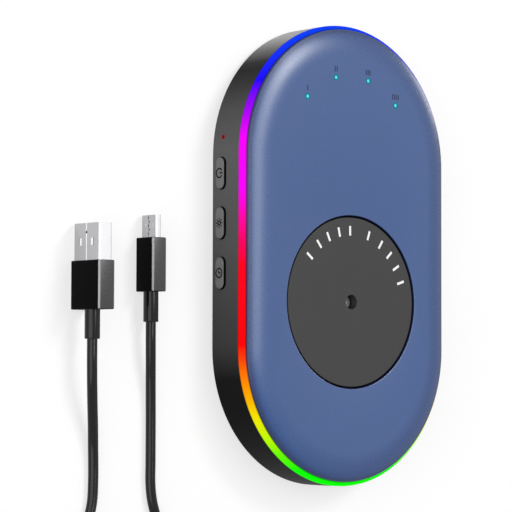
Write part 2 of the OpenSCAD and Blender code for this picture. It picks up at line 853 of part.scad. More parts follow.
module power_button() color([0.42, 0.42, 0.43]) button(button_places[0]);
module light_button() color([0.42, 0.42, 0.43]) button(button_places[1]);
module timer_button() color([0.42, 0.42, 0.43]) button(button_places[2]);

switch_hole_deep = plunger_in + button_travel + fit;

module side_switch(y) difference() {
    translate([switch_x + switch_size[0] / 2, y, 0]) slab(switch_size, board_top_z);
    at_button(y)
        post(plunger_r + plunger_gap, -switch_x - switch_hole_deep, -switch_x + over);
}

module side_plunger(y) {
    at_button(y) post(plunger_r, -switch_x - plunger_in, -plunger_tip_x);
}

module power_switch() color([0.6, 0.6, 0.62]) side_switch(button_places[0]);
module light_switch() color([0.6, 0.6, 0.62]) side_switch(button_places[1]);
module timer_switch() color([0.6, 0.6, 0.62]) side_switch(button_places[2]);
module power_switch_plunger() color([0.85, 0.85, 0.82]) side_plunger(button_places[0]);
module light_switch_plunger() color([0.85, 0.85, 0.82]) side_plunger(button_places[1]);
module timer_switch_plunger() color([0.85, 0.85, 0.82]) side_plunger(button_places[2]);

// ---- Main board and what is on it ----

module main_board() color([0.05, 0.35, 0.15]) difference() {
    intersection() {
        stadium_slab(-board_left_x, end_y, board_z, board_top_z);
        union() {
            translate([-case_r, board_low_y, board_z - over])
                cube([case_r + board_inner_x, case_len, board_t + 2 * over]);
            translate([-case_r, board_mid_y, board_z - over])
                cube([case_w, case_len, board_t + 2 * over]);
        }
    }
    for (place = boss_places) translate(place)
        post(boss_r + board_gap, board_z - over, board_top_z + over);
    for (place = board_hole_places) translate(place)
        post(small_screw_r + fit, board_z - over, board_top_z + over);
}

board_screw_len = board_top_z - floor_z - fit;

module board_screws() color([0.7, 0.7, 0.72])
    for (place = board_hole_places) translate(place) {
        post(board_head_r, board_top_z, board_top_z + board_head_h);
        post(small_screw_r, board_top_z - board_screw_len, board_top_z + eps);
    }

chip_size = [6, 6, 1];
chip_in = 6;
chip_at = [0, board_mid_y + chip_in];
module controller_chip() color([0.1, 0.1, 0.1])
    translate(chip_at) slab(chip_size, board_top_z);

charger_size = [5, 4, 1.4];
charger_x = -12;
charger_in = 6.4;
charger_at = [charger_x, board_far_y - charger_in];
inductor_size = [4, 4, 2];
inductor_x = 13;
inductor_in = 5;
inductor_at = [inductor_x, board_mid_y + inductor_in];
small_part_size = [1.6, 0.8, 0.7];
small_part_count = 8;
small_part_step = 4.4;
small_parts_in = 1.8;
small_parts_up = 6;
small_parts_at = [switch_x + switch_size[0] + small_parts_in, board_low_y + small_parts_up];
module board_parts() color([0.2, 0.2, 0.22]) {
    translate(charger_at) slab(charger_size, board_top_z);
    translate(inductor_at) slab(inductor_size, board_top_z);
    for (i = [0:small_part_count - 1])
        translate(small_parts_at + [0, i * small_part_step]) slab(small_part_size, board_top_z);
}

socket_back_t = 0.6;
socket_tongue = [4.4, 4, 0.6];

module usb_socket() color([0.78, 0.78, 0.8]) difference() {
    translate([0, socket_front_y - socket_len / 2, 0])
        slab([socket_w, socket_len, socket_h], board_top_z);
    translate([0, socket_front_y - socket_len / 2 + socket_back_t, 0])
        slab([socket_w - 2 * socket_wall, socket_len, socket_h - 2 * socket_wall],
            board_top_z + socket_wall);
}

module usb_socket_tongue() color([0.1, 0.1, 0.1])
    translate([0, socket_front_y - socket_len + socket_back_t + socket_tongue[1] / 2, 0])
        slab(socket_tongue, socket_z - socket_tongue[2] / 2);

lens_face_in = 0.05;
lens_face_x = case_r - lens_face_in;
module charge_light_lens() color([0.6, 0.05, 0.05]) at_charge_light() {
    post(charge_dot_r, lower_inner_r - lens_seat_gap - eps, lens_face_x);
    post(lens_head_r, lower_inner_r - lens_head_t, lower_inner_r - lens_seat_gap);
}

module charge_led() color([0.9, 0.9, 0.85])
    translate([0, end_y, 0]) rotate(180 - charge_angle)
        translate([lower_inner_r - lens_head_t - run_gap - charge_led_size[0] / 2, 0, 0])
            slab(charge_led_size, board_top_z);

module mode_leds() color([0.9, 0.9, 0.85])
    for (place = mode_light_places) translate(place)
        slab([mode_led_w, mode_led_w, mode_led_h], board_top_z);

module mode_light_pipes() color([0.3, 0.85, 0.9])
    for (place = mode_light_places) translate(place) {
        post(pipe_r, board_top_z + mode_led_h + pipe_gap, cover_under_z - pipe_fit);
        post(mode_dot_r, cover_under_z - fit, top_z - pipe_fit);
    }

// ---- Lights under the ring ----

strip_out_r = inner_r - fit;
module ring_led_strip() color([0.85, 0.85, 0.8]) difference() {
    stadium_slab(strip_out_r, end_y, ledge_z, ledge_z + ring_strip_t);
    stadium_slab(strip_out_r - ring_strip_w, end_y, ledge_z - over, ledge_z + over);
}

ring_led_r = strip_out_r - pipe_gap - ring_led_w / 2;
ring_led_track = 4 * end_y + 2 * PI * ring_led_r;

// Place and heading on the stadium track at a share of half its length, from the top right
function half_track(s) =
    s < 2 * end_y
        ? [[ring_led_r, s - end_y], 0]
        : let (a = (s - 2 * end_y) / ring_led_r * 180 / PI)
            [[0, end_y] + on_circle(ring_led_r, a), a];

module ring_leds() color([0.95, 0.95, 0.9])
    for (turn = [0, 180], i = [0:ring_light_count / 2 - 1])
        let (spot = half_track((i + 0.5) * ring_led_track / ring_light_count))
            rotate(turn) translate(spot[0]) rotate(spot[1])
                slab([ring_led_w, ring_led_w, ring_led_h], ledge_z + ring_strip_t);

ring_lead_in = 0.7;
ring_lead_x = board_left_x + ring_lead_in;
ring_lead_r = 0.4;
ring_lead_y = button_places[0] - button_pitch / 2;
module ring_led_leads() color([0.8, 0.2, 0.15])
    for (step = [-1, 0, 1])
        translate([ring_lead_x, ring_lead_y + step, 0]) post(ring_lead_r, board_top_z, ledge_z);

// ---- Battery and wires ----

module battery() color([0.75, 0.76, 0.8])
    translate([battery_x, battery_y, 0])
        round_slab([battery_len, battery_w, battery_t], battery_edge, battery_z);

module battery_pad() color([0.2, 0.2, 0.2])
    translate([battery_x, battery_y, 0])
        slab([battery_len - 2 * pad_in, battery_w - 2 * pad_in, battery_pad_t], floor_z);

module battery_leads() color([0.7, 0.1, 0.1])
    for (side = [-1, 1]) {
        y = battery_lead_y + side * lead_pitch / 2;
        tube([[battery_x - battery_len / 2, y, lead_z], [connector_x + connector_size[0], y, lead_z]],
            lead_r, lead_sides, leftwards, leftwards);
    }

module battery_connector() color([0.9, 0.9, 0.88])
    translate([connector_x + connector_size[0] / 2, battery_lead_y, 0])
        slab(connector_size, board_top_z);

motor_connector_in = 4;
motor_connector_y = board_low_y + motor_connector_in;
module motor_connector() color([0.9, 0.9, 0.88])
    translate([connector_x + connector_size[0] / 2, motor_connector_y, 0])
        slab(connector_size, board_top_z);

motor_lead_angles = [200, 214];
motor_lead_gap = 0.4;
motor_lead_bend_x = -16;
motor_lead_rise = 9;
module motor_leads() color([0.15, 0.15, 0.6])
    for (i = [0, 1]) {
        start = motor_at + on_circle(motor_r + motor_lead_gap, motor_lead_angles[i]);
        end_x = connector_x + connector_size[0] / 2 + lead_pitch / 2 - i * lead_pitch;
        tube([
            [start[0], start[1], lead_z],
            [motor_lead_bend_x - i * lead_pitch, start[1], lead_z],
            [end_x, start[1] + motor_lead_rise, lead_z],
            [end_x, motor_connector_y - connector_size[1] / 2, lead_z]
        ], lead_r, lead_sides, leftwards, -away);
    }

// ---- Charging cable ----

large_end = large_plug_route[0];
small_end = small_plug_route[0];
// Puts its children in front of a plug's tail, with +Y along the plug
module at_grip(end, tail_len) {
    translate([end[0], end[1] + tail_len, end[2]]) children();
}

module plug_tail(end, tail_len) {
    translate(end) rotate([-90, 0, 0]) cylinder(r1 = tail_end_r, r2 = tail_r, h = tail_len);
}

// Moulded grip with a seat for the metal shell
module plug_grip(grip, shell_size, shell_round) {
    difference() {
        bar(grip, grip_round);
        translate([0, grip[1] - plug_sink, 0]) bar(shell_size, shell_round);
    }
}

plug_a_shell = [plug_a_t, plug_a_len + plug_sink, plug_a_w];
plug_b_shell = [plug_b_t, plug_b_len + plug_sink, plug_b_w];
shell_round_a = 0.5;
shell_round_b = 0.4;
shell_back_t = 0.5;
inner_round = 0.05;
tongue_in = 0.8;
window_size = [2, 1.2];
window_back = 5.3;
hook_size = [1.2, 0.6];
hook_back = 3.4;
hook_out = 0.15;

// A hollow metal shell that is open at its tip
module plug_shell(size, r) {
    difference() {
        bar(size, r);
        translate([0, shell_back_t, 0])
            bar([size[0] - 2 * shell_t, size[1], size[2] - 2 * shell_t], r - shell_t + inner_round);
    }
}

module usb_a_shell() color([0.75, 0.75, 0.76])
    at_grip(large_end, plug_a_tail_len) translate([0, plug_a_grip[1] - plug_sink, 0])
        difference() {
            plug_shell(plug_a_shell, shell_round_a);
            for (side = [-1, 1])
                translate([0, plug_a_shell[1] - window_back, side * plug_a_w / 4])
                    cube([2 * plug_a_t, window_size[0], window_size[1]], center = true);
        }

tongue_a_t = 1.9;
tongue_a_gap = 0.05;
tongue_a_side_gap = 0.15;
tongue_a_w = plug_a_w - 2 * (shell_t + tongue_a_side_gap);
tongue_a_x = -plug_a_t / 2 + shell_t + tongue_a_gap;
module usb_a_tongue() color([0.95, 0.95, 0.95])
    at_grip(large_end, plug_a_tail_len)
        translate([tongue_a_x, plug_a_grip[1] - plug_sink + shell_back_t, -tongue_a_w / 2])
            cube([tongue_a_t, plug_a_shell[1] - shell_back_t - tongue_in, tongue_a_w]);

contact_size = [0.15, 7, 1];
contact_in = 1.6;
contact_pitch = 2.3;
module usb_a_contacts() color([0.85, 0.7, 0.3])
    at_grip(large_end, plug_a_tail_len)
        for (step = [-1.5, -0.5, 0.5, 1.5])
            translate([tongue_a_x + tongue_a_t,
                plug_a_grip[1] - plug_sink + plug_a_shell[1] - contact_size[1] - contact_in,
                step * contact_pitch - contact_size[2] / 2])
                cube(contact_size);

module usb_a_overmold() color([0.05, 0.05, 0.05])
    at_grip(large_end, plug_a_tail_len) plug_grip(plug_a_grip, plug_a_shell, shell_round_a);

module usb_a_strain_relief() color([0.05, 0.05, 0.05]) plug_tail(large_end, plug_a_tail_len);

module usb_a_lead() color([0.06, 0.06, 0.06])
    tube(large_plug_route, cable_r, lead_sides, away, away);

module cable_coil() color([0.06, 0.06, 0.06])
    tube(coil_path, cable_r, loop_sides, away, -away);

module cable_tie() color([0.1, 0.1, 0.1]) {
    near_y = coil_at[1] - coil_inner_r + cable_r + tie_gap + tie_t;
    far_y = coil_at[1] - coil_outer_r - cable_r - tie_gap;
    low = coil_low_z - cable_r - tie_gap;
    high = coil_high_z + cable_r + tie_gap;
    translate([coil_at[0] - tie_w / 2, 0, 0]) difference() {
        translate([0, far_y - tie_t, low - tie_t])
            cube([tie_w, near_y - far_y + tie_t, high - low + 2 * tie_t]);
        translate([-over, far_y, low])
            cube([tie_w + 2 * over, near_y - tie_t - far_y, high - low]);
    }
}

module micro_usb_lead() color([0.06, 0.06, 0.06])
    tube(small_plug_route, cable_r, lead_sides, away, away);

module micro_usb_strain_relief() color([0.05, 0.05, 0.05]) plug_tail(small_end, plug_b_tail_len);

module micro_usb_overmold() color([0.05, 0.05, 0.05])
    at_grip(small_end, plug_b_tail_len) plug_grip(plug_b_grip, plug_b_shell, shell_round_b);

module micro_usb_shell() color([0.75, 0.75, 0.76])
    at_grip(small_end, plug_b_tail_len) translate([0, plug_b_grip[1] - plug_sink, 0]) {
        plug_shell(plug_b_shell, shell_round_b);
        for (side = [-1, 1])
            translate([-plug_b_t / 2 - hook_out, plug_b_shell[1] - hook_back,
                side * plug_b_w / 4 - hook_size[1] / 2])
                cube([shell_t, hook_size[0], hook_size[1]]);
    }

tongue_b_t = 0.5;
tongue_b_w = 5.2;
module micro_usb_tongue() color([0.1, 0.1, 0.1])
    at_grip(small_end, plug_b_tail_len)
        translate([-tongue_b_t / 2, plug_b_grip[1] - plug_sink + shell_back_t, -tongue_b_w / 2])
            cube([tongue_b_t, plug_b_shell[1] - shell_back_t - tongue_in, tongue_b_w]);

bottom_case();
rubber_feet();
case_screws();
light_ring();
top_cover();
turntable_disc();
turntable_screw();
output_gear();
second_gear();
first_gear();
motor_pinion();
motor_shaft();
motor();
motor_leads();
motor_connector();
gear_frame();
gear_bridge();
gear_axles();
gear_bridge_screws();
power_button();
light_button();
timer_button();
power_switch();
light_switch();
timer_switch();
power_switch_plunger();
light_switch_plunger();
timer_switch_plunger();
main_board();
board_screws();
controller_chip();
board_parts();
usb_socket();
usb_socket_tongue();
charge_led();
charge_light_lens();
mode_leds();
mode_light_pipes();
ring_led_strip();
ring_leds();
ring_led_leads();
battery();
battery_pad();
battery_leads();
battery_connector();
usb_a_shell();
usb_a_tongue();
usb_a_contacts();
usb_a_overmold();
usb_a_strain_relief();
usb_a_lead();
cable_coil();
cable_tie();
micro_usb_lead();
micro_usb_strain_relief();
micro_usb_overmold();
micro_usb_shell();
micro_usb_tongue();
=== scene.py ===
"""Looks of a slim mouse mover with a powered turntable, lying on a desk beside its charging cable.

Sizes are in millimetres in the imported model's frame and turn into metres where a mesh is made.
"""

import json
import math

import bmesh
import bpy
from mathutils import Matrix, Vector
from mathutils.geometry import delaunay_2d_cdt


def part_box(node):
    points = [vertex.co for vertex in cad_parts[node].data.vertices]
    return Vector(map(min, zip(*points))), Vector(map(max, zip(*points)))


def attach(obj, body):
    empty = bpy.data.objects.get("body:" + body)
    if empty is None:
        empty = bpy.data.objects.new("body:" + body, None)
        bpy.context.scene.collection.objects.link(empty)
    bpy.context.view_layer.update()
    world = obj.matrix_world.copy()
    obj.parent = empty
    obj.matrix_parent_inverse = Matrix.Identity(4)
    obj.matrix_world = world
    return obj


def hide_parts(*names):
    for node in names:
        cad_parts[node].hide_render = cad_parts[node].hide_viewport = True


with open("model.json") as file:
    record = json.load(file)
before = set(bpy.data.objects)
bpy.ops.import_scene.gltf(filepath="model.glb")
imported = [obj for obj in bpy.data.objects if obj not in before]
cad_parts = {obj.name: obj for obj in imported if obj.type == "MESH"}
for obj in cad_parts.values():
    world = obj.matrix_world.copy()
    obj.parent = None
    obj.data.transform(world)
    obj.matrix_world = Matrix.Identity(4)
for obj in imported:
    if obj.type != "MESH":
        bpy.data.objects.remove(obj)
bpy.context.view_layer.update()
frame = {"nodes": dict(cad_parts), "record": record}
MM = 0.001


def mm_box(node):
    """A node's lowest and highest corners in millimetres."""
    lo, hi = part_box(node)
    return lo / MM, hi / MM


# ---- Camera ----

LENS = 167.3
SENSOR = 36
CLIP_START = 0.01
CAMERA_AT = Vector((-0.49096, -0.03823, 0.54455))
CAMERA_RIGHT = Vector((0.75842, 0.00291, 0.65176)).normalized()
CAMERA_BACK = Vector((-0.65075, -0.05238, 0.75748)).normalized()


def make_camera():
    camera = bpy.data.objects.new("camera", bpy.data.cameras.new("camera"))
    camera.data.lens = LENS
    camera.data.sensor_width = SENSOR
    camera.data.clip_start = CLIP_START
    up = CAMERA_BACK.cross(CAMERA_RIGHT).normalized()
    right = up.cross(CAMERA_BACK)
    turn = Matrix((right, up, CAMERA_BACK)).transposed()
    camera.matrix_world = Matrix.Translation(CAMERA_AT) @ turn.to_4x4()
    bpy.context.scene.collection.objects.link(camera)
    bpy.context.scene.camera = camera


make_camera()

# ---- Materials ----


def linear(r, g, b):
    """A colour given as 0 to 255 sRGB values, as a linear RGBA tuple."""
    def one(c):
        c /= 255
        return c / 12.92 if c <= 0.04045 else ((c + 0.055) / 1.055) ** 2.4
    return (one(r), one(g), one(b), 1)


def grey(level):
    """A grey given as a linear level."""
    return (level,) * 3 + (1,)


# A noise keeps mostly between these
NOISE_LOW, NOISE_HIGH = 0.3, 0.7
# A colour Mix node's sockets
MIX_FACTOR, MIX_A, MIX_B, MIX_RESULT = 0, 6, 7, 2


class Nodes:
    """A material's node tree with short calls for what the materials here need."""

    def __init__(self, name):
        self.material = bpy.data.materials.new(name)
        self.material.use_nodes = True
        self.tree = self.material.node_tree
        self.shader = self.tree.nodes["Principled BSDF"]
        self.place = self.tree.nodes.new("ShaderNodeTexCoord").outputs["Object"]

    def new(self, kind, **values):
        node = self.tree.nodes.new("ShaderNode" + kind)
        for key, value in values.items():
            setattr(node, key, value)
        return node

    def link(self, out, into):
        self.tree.links.new(out, into)

    def noise(self, size, detail):
        """A noise whose pattern has the given size in mm."""
        node = self.new("TexNoise")
        node.inputs["Scale"].default_value = 1 / (size * MM)
        node.inputs["Detail"].default_value = detail
        self.link(self.place, node.inputs["Vector"])
        return node.outputs["Fac"]

    def spread(self, fac, low, high):
        """Maps a noise to the span from low to high."""
        node = self.new("MapRange")
        node.inputs["From Min"].default_value = NOISE_LOW
        node.inputs["From Max"].default_value = NOISE_HIGH
        node.inputs["To Min"].default_value = low
        node.inputs["To Max"].default_value = high
        self.link(fac, node.inputs["Value"])
        return node.outputs["Result"]

    def ramp(self, fac, stops):
        node = self.new("ValToRGB")
        ramp = node.color_ramp
        while len(ramp.elements) < len(stops):
            ramp.elements.new(0.5)
        for element, (at, colour) in zip(ramp.elements, stops):
            element.position = at
            element.color = colour
        self.link(fac, node.inputs["Fac"])
        return node.outputs["Color"]

    def mix(self, fac, a, b, blend="MIX"):
        """Mixes two colours; fac, a and b are sockets or plain values."""
        node = self.new("Mix", data_type="RGBA", blend_type=blend)
        for socket, value in ((MIX_FACTOR, fac), (MIX_A, a), (MIX_B, b)):
            if isinstance(value, (int, float, tuple)):
                node.inputs[socket].default_value = value
            else:
                self.link(value, node.inputs[socket])
        return node.outputs[MIX_RESULT]

    def axis(self, axis, vector=None):
        """One coordinate of the place on the piece, or of the given vector."""
        node = self.new("SeparateXYZ")
        self.link(vector or self.place, node.inputs[0])
        return node.outputs[axis]

    def math(self, operation, *values):
        node = self.new("Math", operation=operation)
        for socket, value in zip(node.inputs, values):
            if isinstance(value, (int, float)):
                socket.default_value = value
            else:
                self.link(value, socket)
        return node.outputs[0]

    def bump(self, height, depth):
        node = self.new("Bump")
        node.inputs["Distance"].default_value = depth * MM
        self.link(height, node.inputs["Height"])
        self.link(node.outputs["Normal"], self.shader.inputs["Normal"])


BLOTCH = 12.0
FINE_DETAIL, BROAD_DETAIL = 2, 3
ROUGH_VARY = 0.05
GLOW_BASE = 0.001
GLOW_SPECULAR, GLOW_ROUGH = 0.01, 0.6
GLOW_GRAIN, GLOW_VARY = 0.5, 0.03


def surface(
    name, colour, rough, metal=0.0, specular=0.5, grain=0.3, depth=0.004, vary=0.06, tint=None,
):
    """A procedural material: grain is the size in mm of its fine pattern and depth its relief,
    vary is how far its colour goes either way, and tint is a socket maker for the base colour."""
    n = Nodes(name)
    fine = n.noise(grain, FINE_DETAIL)
    broad = n.noise(BLOTCH, BROAD_DETAIL)
    level = n.math("ADD", n.spread(fine, -vary / 2, vary / 2),
                   n.spread(broad, 1 - vary / 2, 1 + vary / 2))
    base = tint(n) if tint else colour
    n.link(n.mix(1.0, base, level, "MULTIPLY"), n.shader.inputs["Base Color"])
    n.link(n.spread(fine, rough - ROUGH_VARY, rough + ROUGH_VARY), n.shader.inputs["Roughness"])
    n.shader.inputs["Metallic"].default_value = metal
    n.shader.inputs["Specular IOR Level"].default_value = specular
    if depth:
        n.bump(fine, depth)
    return n.material


def glowing(name, colour):
    """A lit piece: colour is plain or a socket maker, and its face keeps a fine grain."""
    n = Nodes(name)
    fine = n.noise(GLOW_GRAIN, FINE_DETAIL)
    base = colour(n) if callable(colour) else colour
    shade = n.mix(1.0, base, n.spread(fine, 1 - GLOW_VARY, 1 + GLOW_VARY), "MULTIPLY")
    n.link(shade, n.shader.inputs["Emission Color"])
    n.shader.inputs["Emission Strength"].default_value = 1.0
    n.shader.inputs["Base Color"].default_value = grey(GLOW_BASE)
    n.shader.inputs["Specular IOR Level"].default_value = GLOW_SPECULAR
    n.link(n.spread(fine, GLOW_ROUGH - ROUGH_VARY, GLOW_ROUGH + ROUGH_VARY),
           n.shader.inputs["Roughness"])
    return n.material


# Colours that change over a piece. Their stops are given by a place along the case or a distance
# from the middle line, both in mm.

CASE_R, END_Y = 41.4, 28.6
STOPS_REACH = 70


def along_case(n, stops):
    """A ramp along the length of the case: stops are a place in mm and a colour."""
    share = n.math("MULTIPLY_ADD", n.axis(1), 0.5 / (STOPS_REACH * MM), 0.5)
    return n.ramp(share, [((y + STOPS_REACH) / (2 * STOPS_REACH), colour) for y, colour in stops])


def reach(n):
    """Distance from the line between the centres of the case's rounded ends."""
    past = n.math("SUBTRACT", n.math("ABSOLUTE", n.axis(1)), END_Y * MM)
    along = n.math("MAXIMUM", past, 0.0)
    across = n.axis(0)
    return n.math("SQRT", n.math(
        "ADD", n.math("MULTIPLY", along, along), n.math("MULTIPLY", across, across)))


RING_STOPS = [
    (-64.6, (9, 254, 1)), (-60.0, (105, 250, 0)), (-55.6, (187, 251, 4)), (-49.7, (241, 233, 2)),
    (-44.0, (253, 181, 0)), (-38.0, (255, 131, 0)), (-32.0, (249, 65, 5)), (-28.0, (254, 2, 4)),
    (-4.0, (255, 0, 30)), (3.0, (250, 1, 101)), (9.0, (254, 5, 159)), (18.0, (251, 0, 252)),
    (33.0, (248, 0, 255)), (41.3, (167, 2, 246)), (50.5, (29, 4, 253)), (66.0, (4, 62, 246)),
]
RING_FOOT_Z, RING_WIDTH, RING_FADE, RING_SHADE_LEVEL = 13.2, 3.45, 0.4, 0.3


def ring_colour(n):
    """The row of lights' colours, with painted shade where the ring meets wall and cover."""
    colour = along_case(n, [(y, linear(*c)) for y, c in RING_STOPS])
    up = n.math("SUBTRACT", n.axis(2), RING_FOOT_Z * MM)
    inwards = n.math("SUBTRACT", CASE_R * MM, reach(n))
    share = n.math("MULTIPLY", n.math("ADD", up, inwards), 1 / (RING_WIDTH * MM))
    edge = RING_FADE / RING_WIDTH
    lit, dim = grey(1), grey(RING_SHADE_LEVEL)
    edge_shade = n.ramp(share, [(0, dim), (edge, lit), (1 - edge, lit), (1, dim)])
    return n.mix(1.0, colour, edge_shade, "MULTIPLY")


# Painted shade and highlight on the black wall, as a lightness along the case
WALL_LIGHT_STOPS = [
    (-46, 4), (-38, 12), (-28, 66), (0, 92), (30, 104), (42, 88), (50, 52), (54.5, 22), (57, 40),
    (61, 126), (66, 200),
]


def wall_painted_light(n):
    """Painted light on the wall: charcoal along the straight sides, painted shade near black round
    the lower end, and round the upper end first painted shade and then a pale painted highlight."""
    return along_case(n, [(y, linear(g, g, g)) for y, g in WALL_LIGHT_STOPS])


# Painted shade on the cover: darker towards the rim, and darker still on the side away from the
# buttons
NEAR_SHADE_STOPS = [
    (31.5, (63, 89, 140)), (36.5, (54, 84, 137)), (38.2, (40, 76, 132)), (39.5, (22, 48, 98)),
]
FAR_SHADE_STOPS = [
    (31.5, (63, 89, 140)), (35.5, (38, 68, 120)), (38.7, (30, 60, 112)), (39.5, (22, 46, 92)),
]
SHADE_REACH = 36


def cover_painted_shade(n):
    """Slate blue with painted shade that deepens towards the rim, by the distance from the middle
    line, and more so on the far side from the buttons."""
    share = n.math("MULTIPLY", reach(n), 1 / (CASE_R * MM))
    near, far = (n.ramp(share, [(r / CASE_R, linear(*c)) for r, c in stops])
                 for stops in (NEAR_SHADE_STOPS, FAR_SHADE_STOPS))
    side = n.math("MULTIPLY_ADD", n.axis(0), 0.5 / (SHADE_REACH * MM), 0.5)
    return n.mix(side, near, far)


# Painted highlight on the plug shells, by which way a face looks
SHELL_HIGHLIGHT_STOPS = [(0.35, (184, 184, 187)), (0.75, (216, 216, 218))]


def shell_painted_highlight(n):
    """Painted highlight: bright steel on the narrow faces, which look up and down, and a darker
    grey on the wide ones. The stops are the upward part of the face's normal."""
    turned_up = n.math("ABSOLUTE", n.axis(2, n.new("NewGeometry").outputs["True Normal"]))
    return n.ramp(turned_up, [(up, linear(*c)) for up, c in SHELL_HIGHLIGHT_STOPS])


MATERIALS = {
    "wall_black": surface("wall_black", None, 0.5, specular=0.05, grain=0.35, tint=wall_painted_light),
    "cover_blue": surface(
        "cover_blue", None, 0.29, specular=0.5, grain=0.25, depth=0.0015, vary=0.02,
        tint=cover_painted_shade),
    "disc_grey": surface("disc_grey", linear(51, 51, 51), 0.45, specular=0.3, grain=0.3, vary=0.06),
    "button_grey": surface(
        "button_grey", linear(122, 122, 123), 0.6, specular=0.2, grain=0.25, vary=0.2),
    "rubber": surface("rubber", linear(30, 30, 31), 0.75, specular=0.3, grain=0.4, depth=0.01),
    "steel": surface("steel", linear(190, 190, 194), 0.3, metal=1.0, grain=0.15, vary=0.05),
    "gear_nylon": surface("gear_nylon", linear(232, 228, 212), 0.5, grain=0.3, vary=0.04),
    "brass": surface("brass", linear(205, 172, 98), 0.28, metal=1.0, grain=0.15, vary=0.06),
    "frame_grey": surface("frame_grey", linear(74, 74, 78), 0.6, grain=0.4, vary=0.08),
    "board_green": surface("board_green", linear(22, 96, 52), 0.4, grain=0.6, vary=0.12),
    "chip_black": surface("chip_black", linear(34, 34, 36), 0.55, grain=0.2, vary=0.1),
    "led_white": surface("led_white", linear(236, 234, 222), 0.35, grain=0.2, vary=0.03),
    "pipe_clear": surface("pipe_clear", linear(120, 214, 222), 0.25, grain=0.2, vary=0.04),
    "battery_foil": surface(
        "battery_foil", linear(188, 190, 198), 0.35, metal=0.8, grain=0.8, vary=0.08),
    "foam": surface("foam", linear(60, 60, 62), 0.9, grain=0.5, depth=0.05, vary=0.2),
    "wire": surface("wire", linear(150, 30, 26), 0.5, grain=0.3),
    "connector_white": surface("connector_white", linear(230, 228, 222), 0.5, grain=0.3, vary=0.04),
    "plug_metal": surface(
        "plug_metal", None, 0.3, metal=1.0, grain=0.12, vary=0.04, tint=shell_painted_highlight),
    "cable_black": surface(
        "cable_black", linear(9, 9, 10), 0.18, specular=0.28, grain=0.3, depth=0.002, vary=0.15),
    "strip": surface("strip", linear(224, 222, 206), 0.5, grain=0.4, vary=0.05),
    "ring_light": glowing("ring_light", ring_colour),
    "lens_red": surface("lens_red", linear(120, 10, 14), 0.25, grain=0.2),
}
# The grips' top and rounded edges are lit copies of the sides' black: painted sheen and a painted
# highlight
GRIP_SIDE = surface("grip_side", linear(9, 9, 10), 0.4, specular=0.02, grain=0.3, vary=0.2)
GRIP_EDGE_HIGHLIGHT = surface("grip_edge_highlight", linear(150, 150, 151), 0.16, specular=1.0, grain=0.3, vary=0.1)
GRIP_TOP_LIT = surface("grip_top_lit", linear(44, 44, 45), 0.3, specular=0.6, grain=0.3, vary=0.15)
BAND_CLOTH = surface(
    "band_cloth", linear(24, 24, 25), 0.85, specular=0.15, grain=0.35, depth=0.03, vary=0.3)
# Painted shade: black flanks for the dark gap round each button cap
CAP_SIDE_SHADE = surface("cap_side_shade", linear(8, 8, 9), 0.6, specular=0.05, grain=0.3, vary=0.2)
LIGHT_CORE = glowing("light_core", linear(92, 232, 236))
LIGHT_RIM = glowing("light_rim", linear(8, 122, 142))
RED_RIM = glowing("red_rim", linear(150, 12, 26))
RED_CORE = surface("red_core", linear(26, 4, 8), 0.5, specular=0.1, grain=0.2)
SEAM_PALE = surface(
    "seam_pale", linear(253, 253, 253), 0.12, metal=1.0, grain=0.2, depth=0, vary=0.02)
MARK_DARK = surface("mark_dark", linear(10, 10, 11), 0.7, specular=0.05, grain=0.2, vary=0.2)
MARK_NAVY = surface("mark_navy", linear(24, 32, 66), 0.5, specular=0.2, grain=0.2, vary=0.1)
SEAM_DARK = surface("seam_dark", linear(96, 96, 98), 0.5, grain=0.2, vary=0.2)
# Painted shade for the recess round the turntable
DISH_SHADE = surface("dish_shade", linear(12, 20, 46), 0.6, specular=0.1, grain=0.3)
MARK_WHITE = surface("mark_white", linear(246, 246, 246), 0.55, grain=0.2, vary=0.03)


def dress_nodes():
    """Gives each carried-over CAD node the material of its slot."""
    for row in frame["record"]["subparts"]:
        node = frame["nodes"][row["node"]]
        node.data.materials.clear()
        node.data.materials.append(MATERIALS[row["material_slot"]])


# ---- Cable: one smooth run from plug to plug, with its spare length in a coil ----

CABLE_R = 1.5
COIL_AT = (-75, -109)
COIL_LOW_Z, COIL_HIGH_Z = 2.3, 5.8
COIL_TURNS, COIL_RISE_TURNS = 8.5, 0.5
COIL_OUTER_R, COIL_INNER_R = 24, 9
COIL_START = 180
COIL_STEPS = 36
CABLE_ROUNDNESS = 4
ROUTE_WAY = Vector((0, -6, 0))
SUBSTEPS = 4
LARGE_ROUTE = [
    (-89.6, -26.6, 6.8), (-89.6, -33, 6.8), (-89, -39, 6.1), (-87.8, -45, 4.7),
    (-86.4, -51, 3.1), (-85.4, -57, 1.9), (-85, -62, 1.5), (-85, -67, 1.5), (-85.4, -73, 1.5),
    (-87.2, -79, 1.5), (-90.2, -85, 1.5), (-93.8, -91, 1.6), (-96.8, -96.5, 1.9),
    (-98.6, -101.5, 2.2), (-99, -106, 2.3),
]
SMALL_ROUTE = [
    (-66.6, -21.4, 4.1), (-66.6, -27, 4.1), (-66, -32.5, 3.4), (-65.2, -38, 2.4),
    (-64.6, -44, 1.7), (-64.4, -50, 1.5), (-64.4, -56, 1.5), (-64.4, -62, 1.5),
    (-64.4, -68, 1.5), (-63.6, -73.5, 1.5), (-61.6, -79, 1.5), (-58.6, -84.5, 1.7),
    (-55.4, -90, 2.4), (-52.8, -95.5, 3.8), (-51.3, -101, 5.3), (-51, -106, 5.8),
]


def smooth_route(points):
    """Passes a smooth curve through the points, which leaves and arrives along ROUTE_WAY."""
    points = [Vector(p) for p in points]
    first = points[0] - ROUTE_WAY
    last = points[-1] + ROUTE_WAY
    run = [first] + points + [last]
    out = []
    for i in range(1, len(run) - 2):
        p0, p1, p2, p3 = run[i - 1:i + 3]
        for step in range(SUBSTEPS):
            t = step / SUBSTEPS
            out.append(0.5 * (
                2 * p1 + (p2 - p0) * t + (2 * p0 - 5 * p1 + 4 * p2 - p3) * t * t
                + (3 * p1 - p0 - 3 * p2 + p3) * t ** 3))
    return out + [points[-1]]


